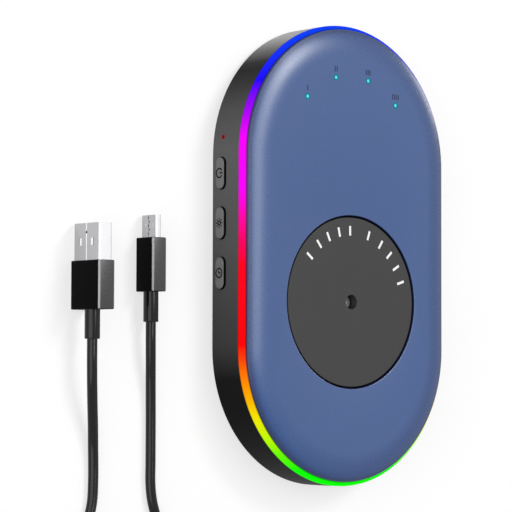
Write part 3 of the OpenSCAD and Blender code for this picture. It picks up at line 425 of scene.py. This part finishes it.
def coil_points():
    """Turns of the coil: inwards below, outwards again above."""
    out = []
    count = round(COIL_TURNS * COIL_STEPS)
    for i in range(count + 1):
        share = i / count
        turn = math.radians(COIL_START + 360 * COIL_TURNS * share)
        r = COIL_INNER_R + (COIL_OUTER_R - COIL_INNER_R) * abs(1 - 2 * share)
        t = min(1, max(0, (share - 0.5) * COIL_TURNS / COIL_RISE_TURNS + 0.5))
        z = COIL_LOW_Z + (COIL_HIGH_Z - COIL_LOW_Z) * t * t * (3 - 2 * t)
        out.append(Vector((COIL_AT[0] + r * math.cos(turn), COIL_AT[1] + r * math.sin(turn), z)))
    return out


def make_cable():
    points = smooth_route(LARGE_ROUTE) + coil_points() + smooth_route(SMALL_ROUTE)[::-1]
    data = bpy.data.curves.new("charging_cable", "CURVE")
    data.dimensions = "3D"
    spline = data.splines.new("POLY")
    spline.points.add(len(points) - 1)
    for target, point in zip(spline.points, points):
        target.co = tuple(point * MM) + (1,)
    spline.use_smooth = True
    data.bevel_depth = CABLE_R * MM
    data.bevel_resolution = CABLE_ROUNDNESS
    data.use_fill_caps = True
    data.materials.append(MATERIALS["cable_black"])
    cable = bpy.data.objects.new("charging_cable", data)
    bpy.context.scene.collection.objects.link(cable)
    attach(cable, "case")
    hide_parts("usb_a_lead", "cable_coil", "micro_usb_lead")
    return cable


cable = make_cable()

# ---- Mesh helpers ----

SMOOTH = math.radians(35)
WELD = 0.0005
CLOSE = 0.00001
ROUND_STEPS = 24
DOME_STEPS = 5
END_ROUND_STEPS = 4
ROUNDING_ANGLES = (0, 30, 60, 90)


class Shape:
    """Collects closed forms in millimetres, with a material index for each face."""

    def __init__(self):
        self.verts = []
        self.faces = []
        self.slots = []

    def add(self, verts, faces, slot):
        start = len(self.verts)
        self.verts += [tuple(v) for v in verts]
        self.faces += [tuple(start + i for i in face) for face in faces]
        self.slots += [slot] * len(faces)

    def rings(self, rings, slot=0, closed=False, caps=True):
        """Skins rings of equal count; a closed skin joins the last ring to the first."""
        count = len(rings[0])
        faces = []
        last = len(rings) if closed else len(rings) - 1
        for i in range(last):
            a, b = i * count, (i + 1) % len(rings) * count
            for k in range(count):
                m = (k + 1) % count
                faces.append((a + k, a + m, b + m, b + k))
        if caps and not closed:
            faces.append(tuple(reversed(range(count))))
            faces.append(tuple((len(rings) - 1) * count + k for k in range(count)))
        self.add([p for ring in rings for p in ring], faces, slot)

    def turned(self, profile, centre=(0, 0), steps=ROUND_STEPS, slot=0, closed=False):
        """Turns a profile of (radius, height) round an upright line."""
        self.rings([[(x, y, z) for x, y in circle(centre, r, steps)] for r, z in profile], slot,
                   closed, caps=False)

    def stadium(self, profile, half, steps, slot=0):
        """Sweeps a profile of (radius, height) round a stadium with straight sides along Y."""
        self.rings([[(x, y, z) for x, y in stadium_loop(r, half, steps)] for r, z in profile],
                   slot, caps=False)

    def sheet(self, outer, holes, z):
        """A flat sheet at one height inside an outline, with round holes, each given by its
        centre, radius and steps."""
        loops = [outer] + [circle(centre, r, steps) for centre, r, steps in holes]
        points, edges = [], []
        for loop in loops:
            start = len(points)
            points += [Vector(p) for p in loop]
            edges += [(start + i, start + (i + 1) % len(loop)) for i in range(len(loop))]
        verts, _, faces, _, _, _ = delaunay_2d_cdt(points, edges, [], 1, CLOSE)
        kept = []
        for face in faces:
            middle = sum((verts[i] for i in face), Vector((0, 0))) / len(face)
            if all((middle - Vector(centre)).length > r * math.cos(math.pi / steps)
                   for centre, r, steps in holes):
                kept.append(face)
        self.add([(v.x, v.y, z) for v in verts], kept, 0)

    def prism(self, outline, z0, z1):
        self.rings([[(x, y, z) for x, y in outline] for z in (z0, z1)])

    def moved(self, matrix):
        self.verts = [tuple(matrix @ Vector(v)) for v in self.verts]

    def join(self, other):
        start = len(self.verts)
        self.verts += other.verts
        self.faces += [tuple(start + i for i in face) for face in other.faces]
        self.slots += other.slots
        return self


def piece(name, shape, materials, body, replaced=(), paint=None):
    """Turns a shape into a shown piece: welded, facing outwards and smooth below a fixed angle.
    paint gives a face's material index from its normal."""
    data = bpy.data.meshes.new(name)
    data.from_pydata(shape.verts, [], shape.faces)
    for polygon, index in zip(data.polygons, shape.slots):
        polygon.material_index = index
    for material in materials:
        data.materials.append(material)
    work = bmesh.new()
    work.from_mesh(data)
    bmesh.ops.remove_doubles(work, verts=work.verts, dist=WELD)
    bmesh.ops.recalc_face_normals(work, faces=work.faces)
    bmesh.ops.scale(work, vec=(MM, MM, MM), verts=work.verts)
    work.to_mesh(data)
    work.free()
    if paint:
        for polygon in data.polygons:
            polygon.material_index = paint(polygon.normal)
    data.shade_smooth()
    data.set_sharp_from_angle(angle=SMOOTH)
    shown = bpy.data.objects.new(name, data)
    bpy.context.scene.collection.objects.link(shown)
    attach(shown, body)
    if replaced:
        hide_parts(*replaced)
    return shown


def arc(centre, r, a0, a1, steps):
    """Points on an arc in plan, from one angle to another in degrees, ends included."""
    out = []
    for i in range(steps + 1):
        a = math.radians(a0 + (a1 - a0) * i / steps)
        out.append((centre[0] + r * math.cos(a), centre[1] + r * math.sin(a)))
    return out


def circle(centre, r, steps):
    return arc(centre, r, 0, 360, steps)[:-1]


def stadium_loop(r, half, steps):
    """A stadium outline with straight sides along Y, with the given steps round each end."""
    return arc((0, half), r, 0, 180, steps) + arc((0, -half), r, 180, 360, steps)


def quarter(start, end, steps):
    """Quarter of an ellipse between two (radius, height) points, bulging outwards."""
    out = []
    for i in range(steps + 1):
        a = math.radians(90 * i / steps)
        out.append((end[0] + (start[0] - end[0]) * math.cos(a),
                    start[1] + (end[1] - start[1]) * math.sin(a)))
    return out


def end_round(r, edge):
    """Profile points of an end at height 0 with a rounded edge, out to the full radius."""
    out = []
    for i in range(END_ROUND_STEPS + 1):
        a = math.radians(90 * i / END_ROUND_STEPS)
        out.append((r - edge + edge * math.sin(a), edge - edge * math.cos(a)))
    return out


def dome(r, low, high):
    """Profile points of a dome, from its full radius at the low height to its top."""
    out = []
    for i in range(DOME_STEPS + 1):
        a = math.radians(90 * i / DOME_STEPS)
        out.append((r * math.cos(a), low + (high - low) * math.sin(a)))
    return out


def rounding(r):
    """The inset and the way in at each step round an edge of the given radius."""
    return [(r * (1 - math.sin(math.radians(a))), r * (1 - math.cos(math.radians(a))))
            for a in ROUNDING_ANGLES]


def rounded_box(width, height, r, steps=5):
    """Outline of a rectangle with rounded corners, centred on the origin."""
    out = []
    for sx, sy, a in ((1, 1, 0), (-1, 1, 90), (-1, -1, 180), (1, -1, 270)):
        out += arc((sx * (width / 2 - r), sy * (height / 2 - r)), r, a, a + 90, steps)
    return out


def stroke(path, width, z0, z1, closed=False):
    """A flat line of even width along a path in plan, as a closed form."""
    shape = Shape()
    count = len(path)
    left, right = [], []
    for i, (x, y) in enumerate(path):
        if closed:
            a, b = path[i - 1], path[(i + 1) % count]
        else:
            a, b = path[max(0, i - 1)], path[min(count - 1, i + 1)]
        way = Vector((b[0] - a[0], b[1] - a[1])).normalized()
        left.append((x - way.y * width / 2, y + way.x * width / 2))
        right.append((x + way.y * width / 2, y - way.x * width / 2))
    corners = list(zip(left, right))
    if closed:
        rings = [[(l[0], l[1], z0), (r[0], r[1], z0), (r[0], r[1], z1), (l[0], l[1], z1)]
                 for l, r in corners]
        shape.rings(rings, closed=True)
    else:
        shape.prism(left + right[::-1], z0, z1)
    return shape


# ---- Cover ----

COVER_R, FLAT_R = 40.1, 31.4
TOP_Z, COVER_Z, RIM_Z, UNDER_Z = 17.75, 15.35, 13.2, 16.15
EDGE_H, EDGE_ROUND = 0.8, 0.4
EDGE_STEPS, CROWN_STEPS = 6, 28
SKIRT_OUT, SKIRT_IN = 37.9, 36.5
DISC_AT = (0, -14.35)
DISH_R, DISH_Z, DISH_UNDER_Z, DISH_WALL = 26.1, 15.05, 13.45, 1.6
DISH_ROUND = 0.45
HUB_HOLE_R = 4.9
LIGHT_ROW_R = 25.7
LIGHT_ANGLES = (135, 105, 75, 45)
LIGHT_HOLE_R = 0.65
POST_AT = (28.5, 44.0)
POST_R, POST_BORE_R, POST_LOW_Z = 2.6, 1.05, 6.0
SLEEVE_R, SLEEVE_BORE_R, SLEEVE_LEN = 2.35, 1.45, 5.0
END_STEPS, DISH_STEPS, POST_STEPS = 72, 144, 32


def light_places():
    """The centres of the four mode lights, in a row round the upper end."""
    turns = [math.radians(a) for a in LIGHT_ANGLES]
    return [(LIGHT_ROW_R * math.cos(a), END_Y + LIGHT_ROW_R * math.sin(a)) for a in turns]


def make_cover():
    """Skirt, edge and crown, the flat with its dish and light holes, sleeves and screw posts."""
    crown_w = COVER_R - EDGE_ROUND - FLAT_R
    crown_h = TOP_Z - COVER_Z - EDGE_H
    crown_r = (crown_w ** 2 + crown_h ** 2) / (2 * crown_h)
    crown = []
    for i in range(1, CROWN_STEPS + 1):
        x = crown_w * (1 - i / CROWN_STEPS)
        crown.append((FLAT_R + x, TOP_Z - crown_r + math.sqrt(crown_r ** 2 - x ** 2)))
    outside = [(SKIRT_IN, UNDER_Z), (SKIRT_IN, RIM_Z), (SKIRT_OUT, RIM_Z), (SKIRT_OUT, COVER_Z)]
    outside += quarter((COVER_R, COVER_Z), (COVER_R - EDGE_ROUND, COVER_Z + EDGE_H), EDGE_STEPS)
    outside += crown
    shape = Shape()
    shape.stadium(outside, END_Y, END_STEPS)
    lights = [(place, LIGHT_HOLE_R, ROUND_STEPS) for place in light_places()]
    shape.sheet(stadium_loop(FLAT_R, END_Y, END_STEPS),
                lights + [(DISC_AT, DISH_R + DISH_ROUND, DISH_STEPS)], TOP_Z)
    cup_r = DISH_R + DISH_WALL
    shape.sheet(stadium_loop(SKIRT_IN, END_Y, END_STEPS), lights + [(DISC_AT, cup_r, DISH_STEPS)],
                UNDER_Z)
    rim = [(DISH_R + inset, TOP_Z - down) for inset, down in rounding(DISH_ROUND)]
    shape.turned(rim[:2], DISC_AT, DISH_STEPS)
    # The dish's wall and floor take the painted shade
    shape.turned(rim[1:] + [(DISH_R, DISH_Z), (HUB_HOLE_R, DISH_Z)], DISC_AT, DISH_STEPS, 1)
    shape.turned([(HUB_HOLE_R, DISH_Z), (HUB_HOLE_R, DISH_UNDER_Z), (cup_r, DISH_UNDER_Z),
                  (cup_r, UNDER_Z)], DISC_AT, DISH_STEPS)
    for place in light_places():
        shape.turned([(LIGHT_HOLE_R, UNDER_Z), (LIGHT_HOLE_R, TOP_Z)], place)
        shape.turned([(SLEEVE_BORE_R, UNDER_Z - SLEEVE_LEN), (SLEEVE_R, UNDER_Z - SLEEVE_LEN),
                      (SLEEVE_R, UNDER_Z), (SLEEVE_BORE_R, UNDER_Z)], place, POST_STEPS,
                     closed=True)
    for x in (-POST_AT[0], POST_AT[0]):
        for y in (-POST_AT[1], POST_AT[1]):
            shape.turned([(POST_BORE_R, POST_LOW_Z), (POST_R, POST_LOW_Z), (POST_R, UNDER_Z),
                          (POST_BORE_R, UNDER_Z)], (x, y), POST_STEPS, closed=True)
    piece("blue_cover", shape, [MATERIALS["cover_blue"], DISH_SHADE], "case",
          ["top_cover"])


# ---- Turntable marks ----

DISC_TICKS = (141.7, 127.6, 115.8, 103.5, 91.5, 70.8, 55.8, 43.0, 30.3, 17.3)
TICK_R, TICK_LEN, TICK_W = 21.6, 2.9, 0.75
TICK_PROUD, TICK_SUNK = 0.03, 0.02


def disc_ticks():
    """Ten plain ticks round the upper part of the turntable."""
    lo, hi = mm_box("turntable_disc")
    centre = ((lo.x + hi.x) / 2, (lo.y + hi.y) / 2)
    shape = Shape()
    for angle in DISC_TICKS:
        way = Vector((math.cos(math.radians(angle)), math.sin(math.radians(angle))))
        ends = [(centre[0] + way.x * r, centre[1] + way.y * r)
                for r in (TICK_R - TICK_LEN / 2, TICK_R + TICK_LEN / 2)]
        shape.join(stroke(ends, TICK_W, hi.z - TICK_SUNK, hi.z + TICK_PROUD))
    piece("turntable_ticks", shape, [MARK_WHITE], "turntable")


# ---- Buttons ----

CAP_LEN, CAP_H = 9.3, 3.6
CAP_EDGE = 0.3
CAP_EDGE_STEPS, CAP_STEPS = 4, 16
CAP_BACK_X, CAP_FACE_X = 39.75, 42.3
FLANGE_T, FLANGE_W, FLANGE_OVERLAP = 0.8, 0.7, 0.01
STEM_R, STEM_LEN = 0.85, 1.4
BUTTON_Z = 5.55
ICON_R, ICON_OVER = 1.35, 0.15
ICON_W, ICON_STEPS = 0.42, 30
ICON_SUNK, ICON_PROUD = 0.02, 0.03
POWER_ARC, POWER_LINE_FROM = (125, 415), 0.1
SUN_R, SUN_STEPS, RAY_FROM, RAY_THIN = 0.55, 20, 0.95, 0.8
CLOCK_HANDS = [(0, 0.75), (0, 0), (-0.6, -0.35)]


def power_icon():
    shape = stroke(arc((0, 0), ICON_R, *POWER_ARC, ICON_STEPS), ICON_W, 0, 1)
    return shape.join(stroke([(0, POWER_LINE_FROM), (0, ICON_R + ICON_OVER)], ICON_W, 0, 1))


def light_icon():
    shape = stroke(circle((0, 0), SUN_R, SUN_STEPS), ICON_W, 0, 1, closed=True)
    for angle in range(0, 360, 45):
        way = (math.cos(math.radians(angle)), math.sin(math.radians(angle)))
        ends = [(way[0] * r, way[1] * r) for r in (RAY_FROM, ICON_R + ICON_OVER)]
        shape.join(stroke(ends, RAY_THIN * ICON_W, 0, 1))
    return shape


def timer_icon():
    shape = stroke(circle((0, 0), ICON_R, ICON_STEPS), ICON_W, 0, 1, closed=True)
    return shape.join(stroke(CLOCK_HANDS, ICON_W, 0, 1))


def button_cap(name, node, icon):
    """Cap, flange and stem of a button: its face is grey and its flanks are black, as painted
    shade.
    """
    lo, hi = mm_box(node)
    y = (lo.y + hi.y) / 2
    half = (CAP_LEN - CAP_H) / 2
    r = CAP_H / 2
    shape = Shape()
    shape.stadium([(0, CAP_BACK_X), (r, CAP_BACK_X), (r, CAP_FACE_X - CAP_EDGE)], half,
                  CAP_STEPS, 1)
    edge = quarter((r, CAP_FACE_X - CAP_EDGE), (r - CAP_EDGE, CAP_FACE_X), CAP_EDGE_STEPS)
    shape.stadium(edge + [(0, CAP_FACE_X)], half, CAP_STEPS)
    flange, flange_back = r + FLANGE_W, CAP_BACK_X - FLANGE_T
    flange_front = CAP_BACK_X + FLANGE_OVERLAP
    shape.stadium([(0, flange_back), (flange, flange_back), (flange, flange_front),
                   (0, flange_front)], half, CAP_STEPS, 1)
    shape.turned([(0, flange_back - STEM_LEN), (STEM_R, flange_back - STEM_LEN),
                  (STEM_R, CAP_BACK_X), (0, CAP_BACK_X)], slot=1)
    # Local Z points out of the wall, to -X, and local X points up
    shape.moved(Matrix(((0, 0, -1, 0), (0, 1, 0, y), (1, 0, 0, BUTTON_Z), (0, 0, 0, 1))))
    # The icon's right is -Y and its up is +Z
    depth = ICON_SUNK + ICON_PROUD
    icon.moved(Matrix(((0, 0, -depth, ICON_SUNK - CAP_FACE_X), (-1, 0, 0, y),
                       (0, 1, 0, BUTTON_Z), (0, 0, 0, 1))))
    icon.slots = [2] * len(icon.faces)
    shape.join(icon)
    piece(name, shape, [MATERIALS["button_grey"], CAP_SIDE_SHADE, MARK_DARK], node + "_body",
          [node])


# ---- Marks beside the mode lights ----

MARK_UP, MARK_LEN, MARK_W = 2.6, 1.7, 0.34
MARK_STEP = 0.8
MARK_PROUD = 0.02


def mode_marks():
    """One to four strokes above the mode lights."""
    shape = Shape()
    for count, (x, y) in enumerate(light_places(), 1):
        for i in range(count):
            at = x + (i - (count - 1) / 2) * MARK_STEP
            ends = [(at, y + MARK_UP - MARK_LEN / 2), (at, y + MARK_UP + MARK_LEN / 2)]
            shape.join(stroke(ends, MARK_W, TOP_Z - MARK_PROUD, TOP_Z + MARK_PROUD))
    piece("mode_marks", shape, [MARK_NAVY], "case")


# ---- Lights ----

PIPE_R, PIPE_LOW_Z, PIPE_TOP_Z = 1.4, 5.6, 16.1
DOT_R, DOT_TOP_Z, DOT_DOME = 0.6, 17.72, 0.08
RIM_IN, RIM_OUT, RIM_PROUD = 0.55, 1.02, 0.04
CHARGE_ANGLE, CHARGE_Z = 7.3, 5.85
LENS_BACK, LENS_HEAD_FRONT, LENS_FACE = 37.0, 37.75, 41.36
LENS_R, LENS_HEAD_R, LENS_DOME = 0.6, 1.1, 0.1
RED_IN, RED_OUT = 0.4, 0.72
RED_SUNK, RED_EDGE, RED_PROUD = 0.02, 0.08, 0.12


def mode_lights():
    """Four light pipes, each with a lit dome and a darker rim round it."""
    shape = Shape()
    for place in light_places():
        shape.turned([(0, PIPE_LOW_Z), (PIPE_R, PIPE_LOW_Z), (PIPE_R, PIPE_TOP_Z),
                      (DOT_R, PIPE_TOP_Z), (DOT_R, DOT_TOP_Z)], place)
        shape.turned([(DOT_R, DOT_TOP_Z)] + dome(RIM_IN, DOT_TOP_Z, DOT_TOP_Z + DOT_DOME),
                     place, slot=1)
        shape.turned([(RIM_IN, TOP_Z - RIM_PROUD), (RIM_OUT, TOP_Z - RIM_PROUD),
                      (RIM_OUT, TOP_Z), (RIM_OUT - RIM_PROUD, TOP_Z + RIM_PROUD),
                      (RIM_IN, TOP_Z + RIM_PROUD)], place, slot=2, closed=True)
    piece("mode_lights", shape, [MATERIALS["pipe_clear"], LIGHT_CORE, LIGHT_RIM], "case",
          ["mode_light_pipes"])


def charge_light():
    """The charge light's lens in the wall, dark in the middle with a red rim."""
    shape = Shape()
    shape.turned([(0, LENS_BACK), (LENS_HEAD_R, LENS_BACK), (LENS_HEAD_R, LENS_HEAD_FRONT),
                  (LENS_R, LENS_HEAD_FRONT), (LENS_R, LENS_FACE)])
    shape.turned(dome(LENS_R, LENS_FACE, LENS_FACE + LENS_DOME), slot=1)
    shape.turned([(RED_IN, LENS_FACE), (RED_OUT, LENS_FACE - RED_SUNK),
                  (RED_OUT, LENS_FACE + RED_EDGE), (RED_IN, LENS_FACE + RED_PROUD)],
                 slot=2, closed=True)
    # The profile's height points out of the wall
    turn = Matrix.Rotation(math.radians(180 - CHARGE_ANGLE), 4, "Z")
    tip = Matrix.Rotation(math.radians(90), 4, "Y")
    shape.moved(Matrix.Translation((0, END_Y, CHARGE_Z)) @ turn @ tip)
    piece("charge_light", shape, [MATERIALS["lens_red"], RED_CORE, RED_RIM], "case",
          ["charge_light_lens"])


# ---- Plugs: each lies along Y, with its tip towards +Y and its wide faces upright ----

PLUG_PIECES = [frame["nodes"][name] for name in (
    "usb_a_shell", "usb_a_tongue", "usb_a_contacts", "micro_usb_shell", "micro_usb_tongue")]
GRIP_ROUND, GRIP_END_ROUND = 0.7, 0.3
LARGE_TAIL_AT, LARGE_TAIL_LEN, LARGE_GRIP = (-89.6, -26.6, 6.8), 8.3, (5.7, 13.8, 13.6)
SMALL_TAIL_AT, SMALL_TAIL_LEN, SMALL_GRIP = (-66.6, -21.4, 4.1), 8.8, (5.2, 15.6, 8.2)
TAIL_R, TAIL_IN_GRIP, TAIL_ROUND, TAIL_STEPS = 2.2, 0.2, 0.3, 40


def grip_shape(at, tail_len, grip):
    """A moulded grip along Y with rounded edges and softly rounded ends."""
    y0 = at[1] + tail_len
    y1 = y0 + grip[1]
    rings = []
    for y, sign in ((y0, 1), (y1, -1)):
        part = []
        for inset, out in rounding(GRIP_END_ROUND):
            outline = rounded_box(grip[0] - 2 * inset, grip[2] - 2 * inset, GRIP_ROUND - inset / 2)
            part.append([(at[0] + x, y + sign * out, at[2] + z) for x, z in outline])
        rings += part if sign > 0 else part[::-1]
    shape = Shape()
    shape.rings(rings)
    return shape


def make_tails():
    """Round sleeves between grip and cable, each with a softly rounded free end."""
    for name, at, length, node in (
        ("large_tail", LARGE_TAIL_AT, LARGE_TAIL_LEN, "usb_a_strain_relief"),
        ("small_tail", SMALL_TAIL_AT, SMALL_TAIL_LEN, "micro_usb_strain_relief"),
    ):
        profile = [(0, 0)] + end_round(TAIL_R, TAIL_ROUND) + [
            (TAIL_R, length + TAIL_IN_GRIP), (0, length + TAIL_IN_GRIP)]
        shape = Shape()
        shape.turned(profile, steps=TAIL_STEPS)
        # The profile's height runs along +Y from the cable to the grip
        shape.moved(Matrix(((1, 0, 0, at[0]), (0, 0, 1, at[1]), (0, 1, 0, at[2]), (0, 0, 0, 1))))
        PLUG_PIECES.append(
            piece(name, shape, [MATERIALS["cable_black"]], "case", [node]))


BAND_W, BAND_T, BAND_GAP, BAND_ROUND = 4, 0.6, 0.2, 0.2
BAND_IN_R, BAND_OUT_R = 9, 23.1
BAND_ROUND_STEPS, BAND_BEND_STEPS = 2, 8
TAB_LEN, TAB_T, TAB_ROUND, TAB_SUNK = 9, 0.5, 1.2, 0.05


def make_band():
    """A band round the coil's turns, closed by an end that lies on its upper run."""
    middle_y = COIL_AT[1] - (BAND_IN_R + BAND_OUT_R) / 2
    middle_z = (COIL_LOW_Z + COIL_HIGH_Z) / 2
    inner_r = CABLE_R + BAND_GAP
    run = BAND_OUT_R - BAND_IN_R + 2 * inner_r
    rise = COIL_HIGH_Z - COIL_LOW_Z + 2 * inner_r
    rings = []
    for across, out in rounded_box(BAND_W, BAND_T, BAND_ROUND, BAND_ROUND_STEPS):
        out += BAND_T / 2
        loop = rounded_box(run + 2 * out, rise + 2 * out, inner_r + out, BAND_BEND_STEPS)
        rings.append([(COIL_AT[0] + across, middle_y + u, middle_z + w) for u, w in loop])
    shape = Shape()
    shape.rings(rings, closed=True)
    top = middle_z + rise / 2 + BAND_T
    tab = [(COIL_AT[0] + x, middle_y + y) for x, y in rounded_box(BAND_W, TAB_LEN, TAB_ROUND)]
    shape.prism(tab, top - TAB_SUNK, top + TAB_T)
    PLUG_PIECES.append(piece("coil_band", shape, [BAND_CLOTH], "case", ["cable_tie"]))


TOP_TURN, EDGE_TURN_UP, EDGE_TURN_OUT = 0.93, 0.35, 0.3


def grip_painted_light(normal):
    """Top and bottom get a painted sheen, the rounded edges beside them a painted highlight, and
    the wide sides and ends plain black.
    """
    if abs(normal.z) > TOP_TURN:
        return 2
    return 1 if abs(normal.z) > EDGE_TURN_UP and abs(normal.x) > EDGE_TURN_OUT else 0


def make_grips():
    for name, at, tail_len, grip, node in (
        ("large_grip", LARGE_TAIL_AT, LARGE_TAIL_LEN, LARGE_GRIP, "usb_a_overmold"),
        ("small_grip", SMALL_TAIL_AT, SMALL_TAIL_LEN, SMALL_GRIP, "micro_usb_overmold"),
    ):
        made = piece(name, grip_shape(at, tail_len, grip), [GRIP_SIDE, GRIP_EDGE_HIGHLIGHT, GRIP_TOP_LIT], "case",
                     [node], paint=grip_painted_light)
        PLUG_PIECES.append(made)


# Marks on a shell's wide face: from and to along the plug, back from its tip, bottom and top from
# its middle, and the material's index
LARGE_SHELL_T, LARGE_SHELL_LEN = 4.5, 10.5
LARGE_SHELL_MARKS = [
    (LARGE_SHELL_LEN, 2.9, -0.17, 0.17, 0),
    (1.9, 0.02, -0.17, 0.17, 0),
    # The folded joint's dovetail
    (2.9, 2.55, -0.35, 0.35, 1),
    (2.55, 2.25, -0.2, 0.2, 1),
    (2.25, 1.9, -0.42, -0.1, 0),
    # The two slots
    (6.3, 4.3, -3.04, -2.24, 0),
    (6.3, 4.3, 2.24, 3.04, 0),
]
SMALL_SHELL_T, SMALL_SHELL_LEN = 1.85, 6.5
SMALL_SHELL_MARKS = [
    (SMALL_SHELL_LEN, 0.02, -0.08, 0.08, 1),
    # The folded joint's teeth, by turns below and above the seam
    (5.6, 5.1, -0.46, -0.14, 1),
    (4.45, 3.95, 0.14, 0.46, 1),
    (3.3, 2.8, -0.46, -0.14, 1),
    (2.15, 1.65, 0.14, 0.46, 1),
    (1.0, 0.5, -0.46, -0.14, 1),
]
SEAM_PROUD, SEAM_SUNK = 0.02, 0.05


def make_shell_marks():
    """Thin plates for the seams and slots, on the shells' faces that look to -X."""
    for name, at, grip_end, shell_t, shell_len, marks, dark in (
        ("large_shell_marks", LARGE_TAIL_AT, LARGE_TAIL_LEN + LARGE_GRIP[1], LARGE_SHELL_T,
         LARGE_SHELL_LEN, LARGE_SHELL_MARKS, MARK_DARK),
        ("small_shell_marks", SMALL_TAIL_AT, SMALL_TAIL_LEN + SMALL_GRIP[1], SMALL_SHELL_T,
         SMALL_SHELL_LEN, SMALL_SHELL_MARKS, SEAM_DARK),
    ):
        face = at[0] - shell_t / 2
        tip = at[1] + grip_end + shell_len
        shape = Shape()
        for back, ahead, low, high, slot in marks:
            corners = [(tip - back, at[2] + low), (tip - ahead, at[2] + low),
                       (tip - ahead, at[2] + high), (tip - back, at[2] + high)]
            shape.rings([[(x, y, z) for y, z in corners]
                         for x in (face + SEAM_SUNK, face - SEAM_PROUD)], slot)
        PLUG_PIECES.append(piece(name, shape, [SEAM_PALE, dark], "case"))


# ---- Everything ----

dress_nodes()
make_cover()
disc_ticks()
button_cap("power_cap", "power_button", power_icon())
button_cap("light_cap", "light_button", light_icon())
button_cap("timer_cap", "timer_button", timer_icon())
mode_lights()
mode_marks()
charge_light()

make_grips()
make_tails()
make_band()
make_shell_marks()

# ---- Floor, world and lamps ----

FLOOR_REACH = 4.0
FLOOR_WHITE, FLOOR_SHADED, FLOOR_UNSEEN = 0.68, 0.33, 0.3
WORLD_LIGHT, WORLD_SEEN = 0.3, 0.95
# Name, place, size, power and the way along which the size's second number runs
LAMPS = [
    ("key", (-1.3, 0.05, 0.62), (1.4, 1.4), 12, (0, 1, 0)),
    ("strip", (0.26, 0.31, 1.15), (0.3, 0.86), 5.4, (0.45, 0.89, 0)),
    ("glow", (0.54, 0.68, 1.12), (0.34, 0.34), 5, (0, 1, 0)),
    ("rim", (1.4, 0.5, 0.12), (0.3, 0.3), 2, (0, 1, 0)),
]


def seen_directly(tree):
    """A socket that is 1 for camera, glossy and transmission rays, and 0 for diffuse ones."""
    path = tree.nodes.new("ShaderNodeLightPath")
    total = path.outputs["Is Camera Ray"]
    for name in ("Is Glossy Ray", "Is Transmission Ray"):
        most = tree.nodes.new("ShaderNodeMath")
        most.operation = "MAXIMUM"
        tree.links.new(total, most.inputs[0])
        tree.links.new(path.outputs[name], most.inputs[1])
        total = most.outputs[0]
    return total


def make_floor():
    """A white floor that keeps the object's shadow. Seen directly it adds its own white, and to
    diffuse light it is only a pale grey."""
    data = bpy.data.meshes.new("floor")
    signs = ((-1, -1), (1, -1), (1, 1), (-1, 1))
    corners = [(x * FLOOR_REACH, y * FLOOR_REACH, 0) for x, y in signs]
    data.from_pydata(corners, [], [(0, 1, 2, 3)])
    floor = bpy.data.objects.new("floor", data)
    bpy.context.scene.collection.objects.link(floor)
    n = Nodes("floor")
    seen = seen_directly(n.tree)
    pale = n.mix(seen, grey(FLOOR_UNSEEN), grey(FLOOR_SHADED))
    n.link(pale, n.shader.inputs["Base Color"])
    n.shader.inputs["Roughness"].default_value = 1.0
    n.shader.inputs["Specular IOR Level"].default_value = 0.0
    n.shader.inputs["Emission Color"].default_value = grey(1)
    n.link(n.math("MULTIPLY", seen, FLOOR_WHITE), n.shader.inputs["Emission Strength"])
    data.materials.append(n.material)


def make_world():
    """Plain grey light all round, near white where it is seen directly."""
    world = bpy.data.worlds.new("world")
    bpy.context.scene.world = world
    world.use_nodes = True
    tree = world.node_tree
    background = tree.nodes["Background"]
    mix = tree.nodes.new("ShaderNodeMix")
    mix.data_type = "RGBA"
    mix.inputs[MIX_A].default_value = grey(WORLD_LIGHT)
    mix.inputs[MIX_B].default_value = grey(WORLD_SEEN)
    tree.links.new(seen_directly(tree), mix.inputs[MIX_FACTOR])
    tree.links.new(mix.outputs[MIX_RESULT], background.inputs["Color"])


def area_lamp(name, at, size, power, along):
    """A lamp that looks at the origin, with its second side turned along the given way."""
    data = bpy.data.lights.new(name, "AREA")
    data.shape = "RECTANGLE"
    data.size, data.size_y = size
    data.energy = power
    lamp = bpy.data.objects.new(name, data)
    back = Vector(at).normalized()
    across = Vector(along).cross(back).normalized()
    turn = Matrix((across, back.cross(across), back)).transposed()
    lamp.matrix_world = Matrix.Translation(at) @ turn.to_4x4()
    bpy.context.scene.collection.objects.link(lamp)


make_floor()
make_world()
for lamp in LAMPS:
    area_lamp(*lamp)
bpy.context.scene.view_settings.view_transform = "Standard"
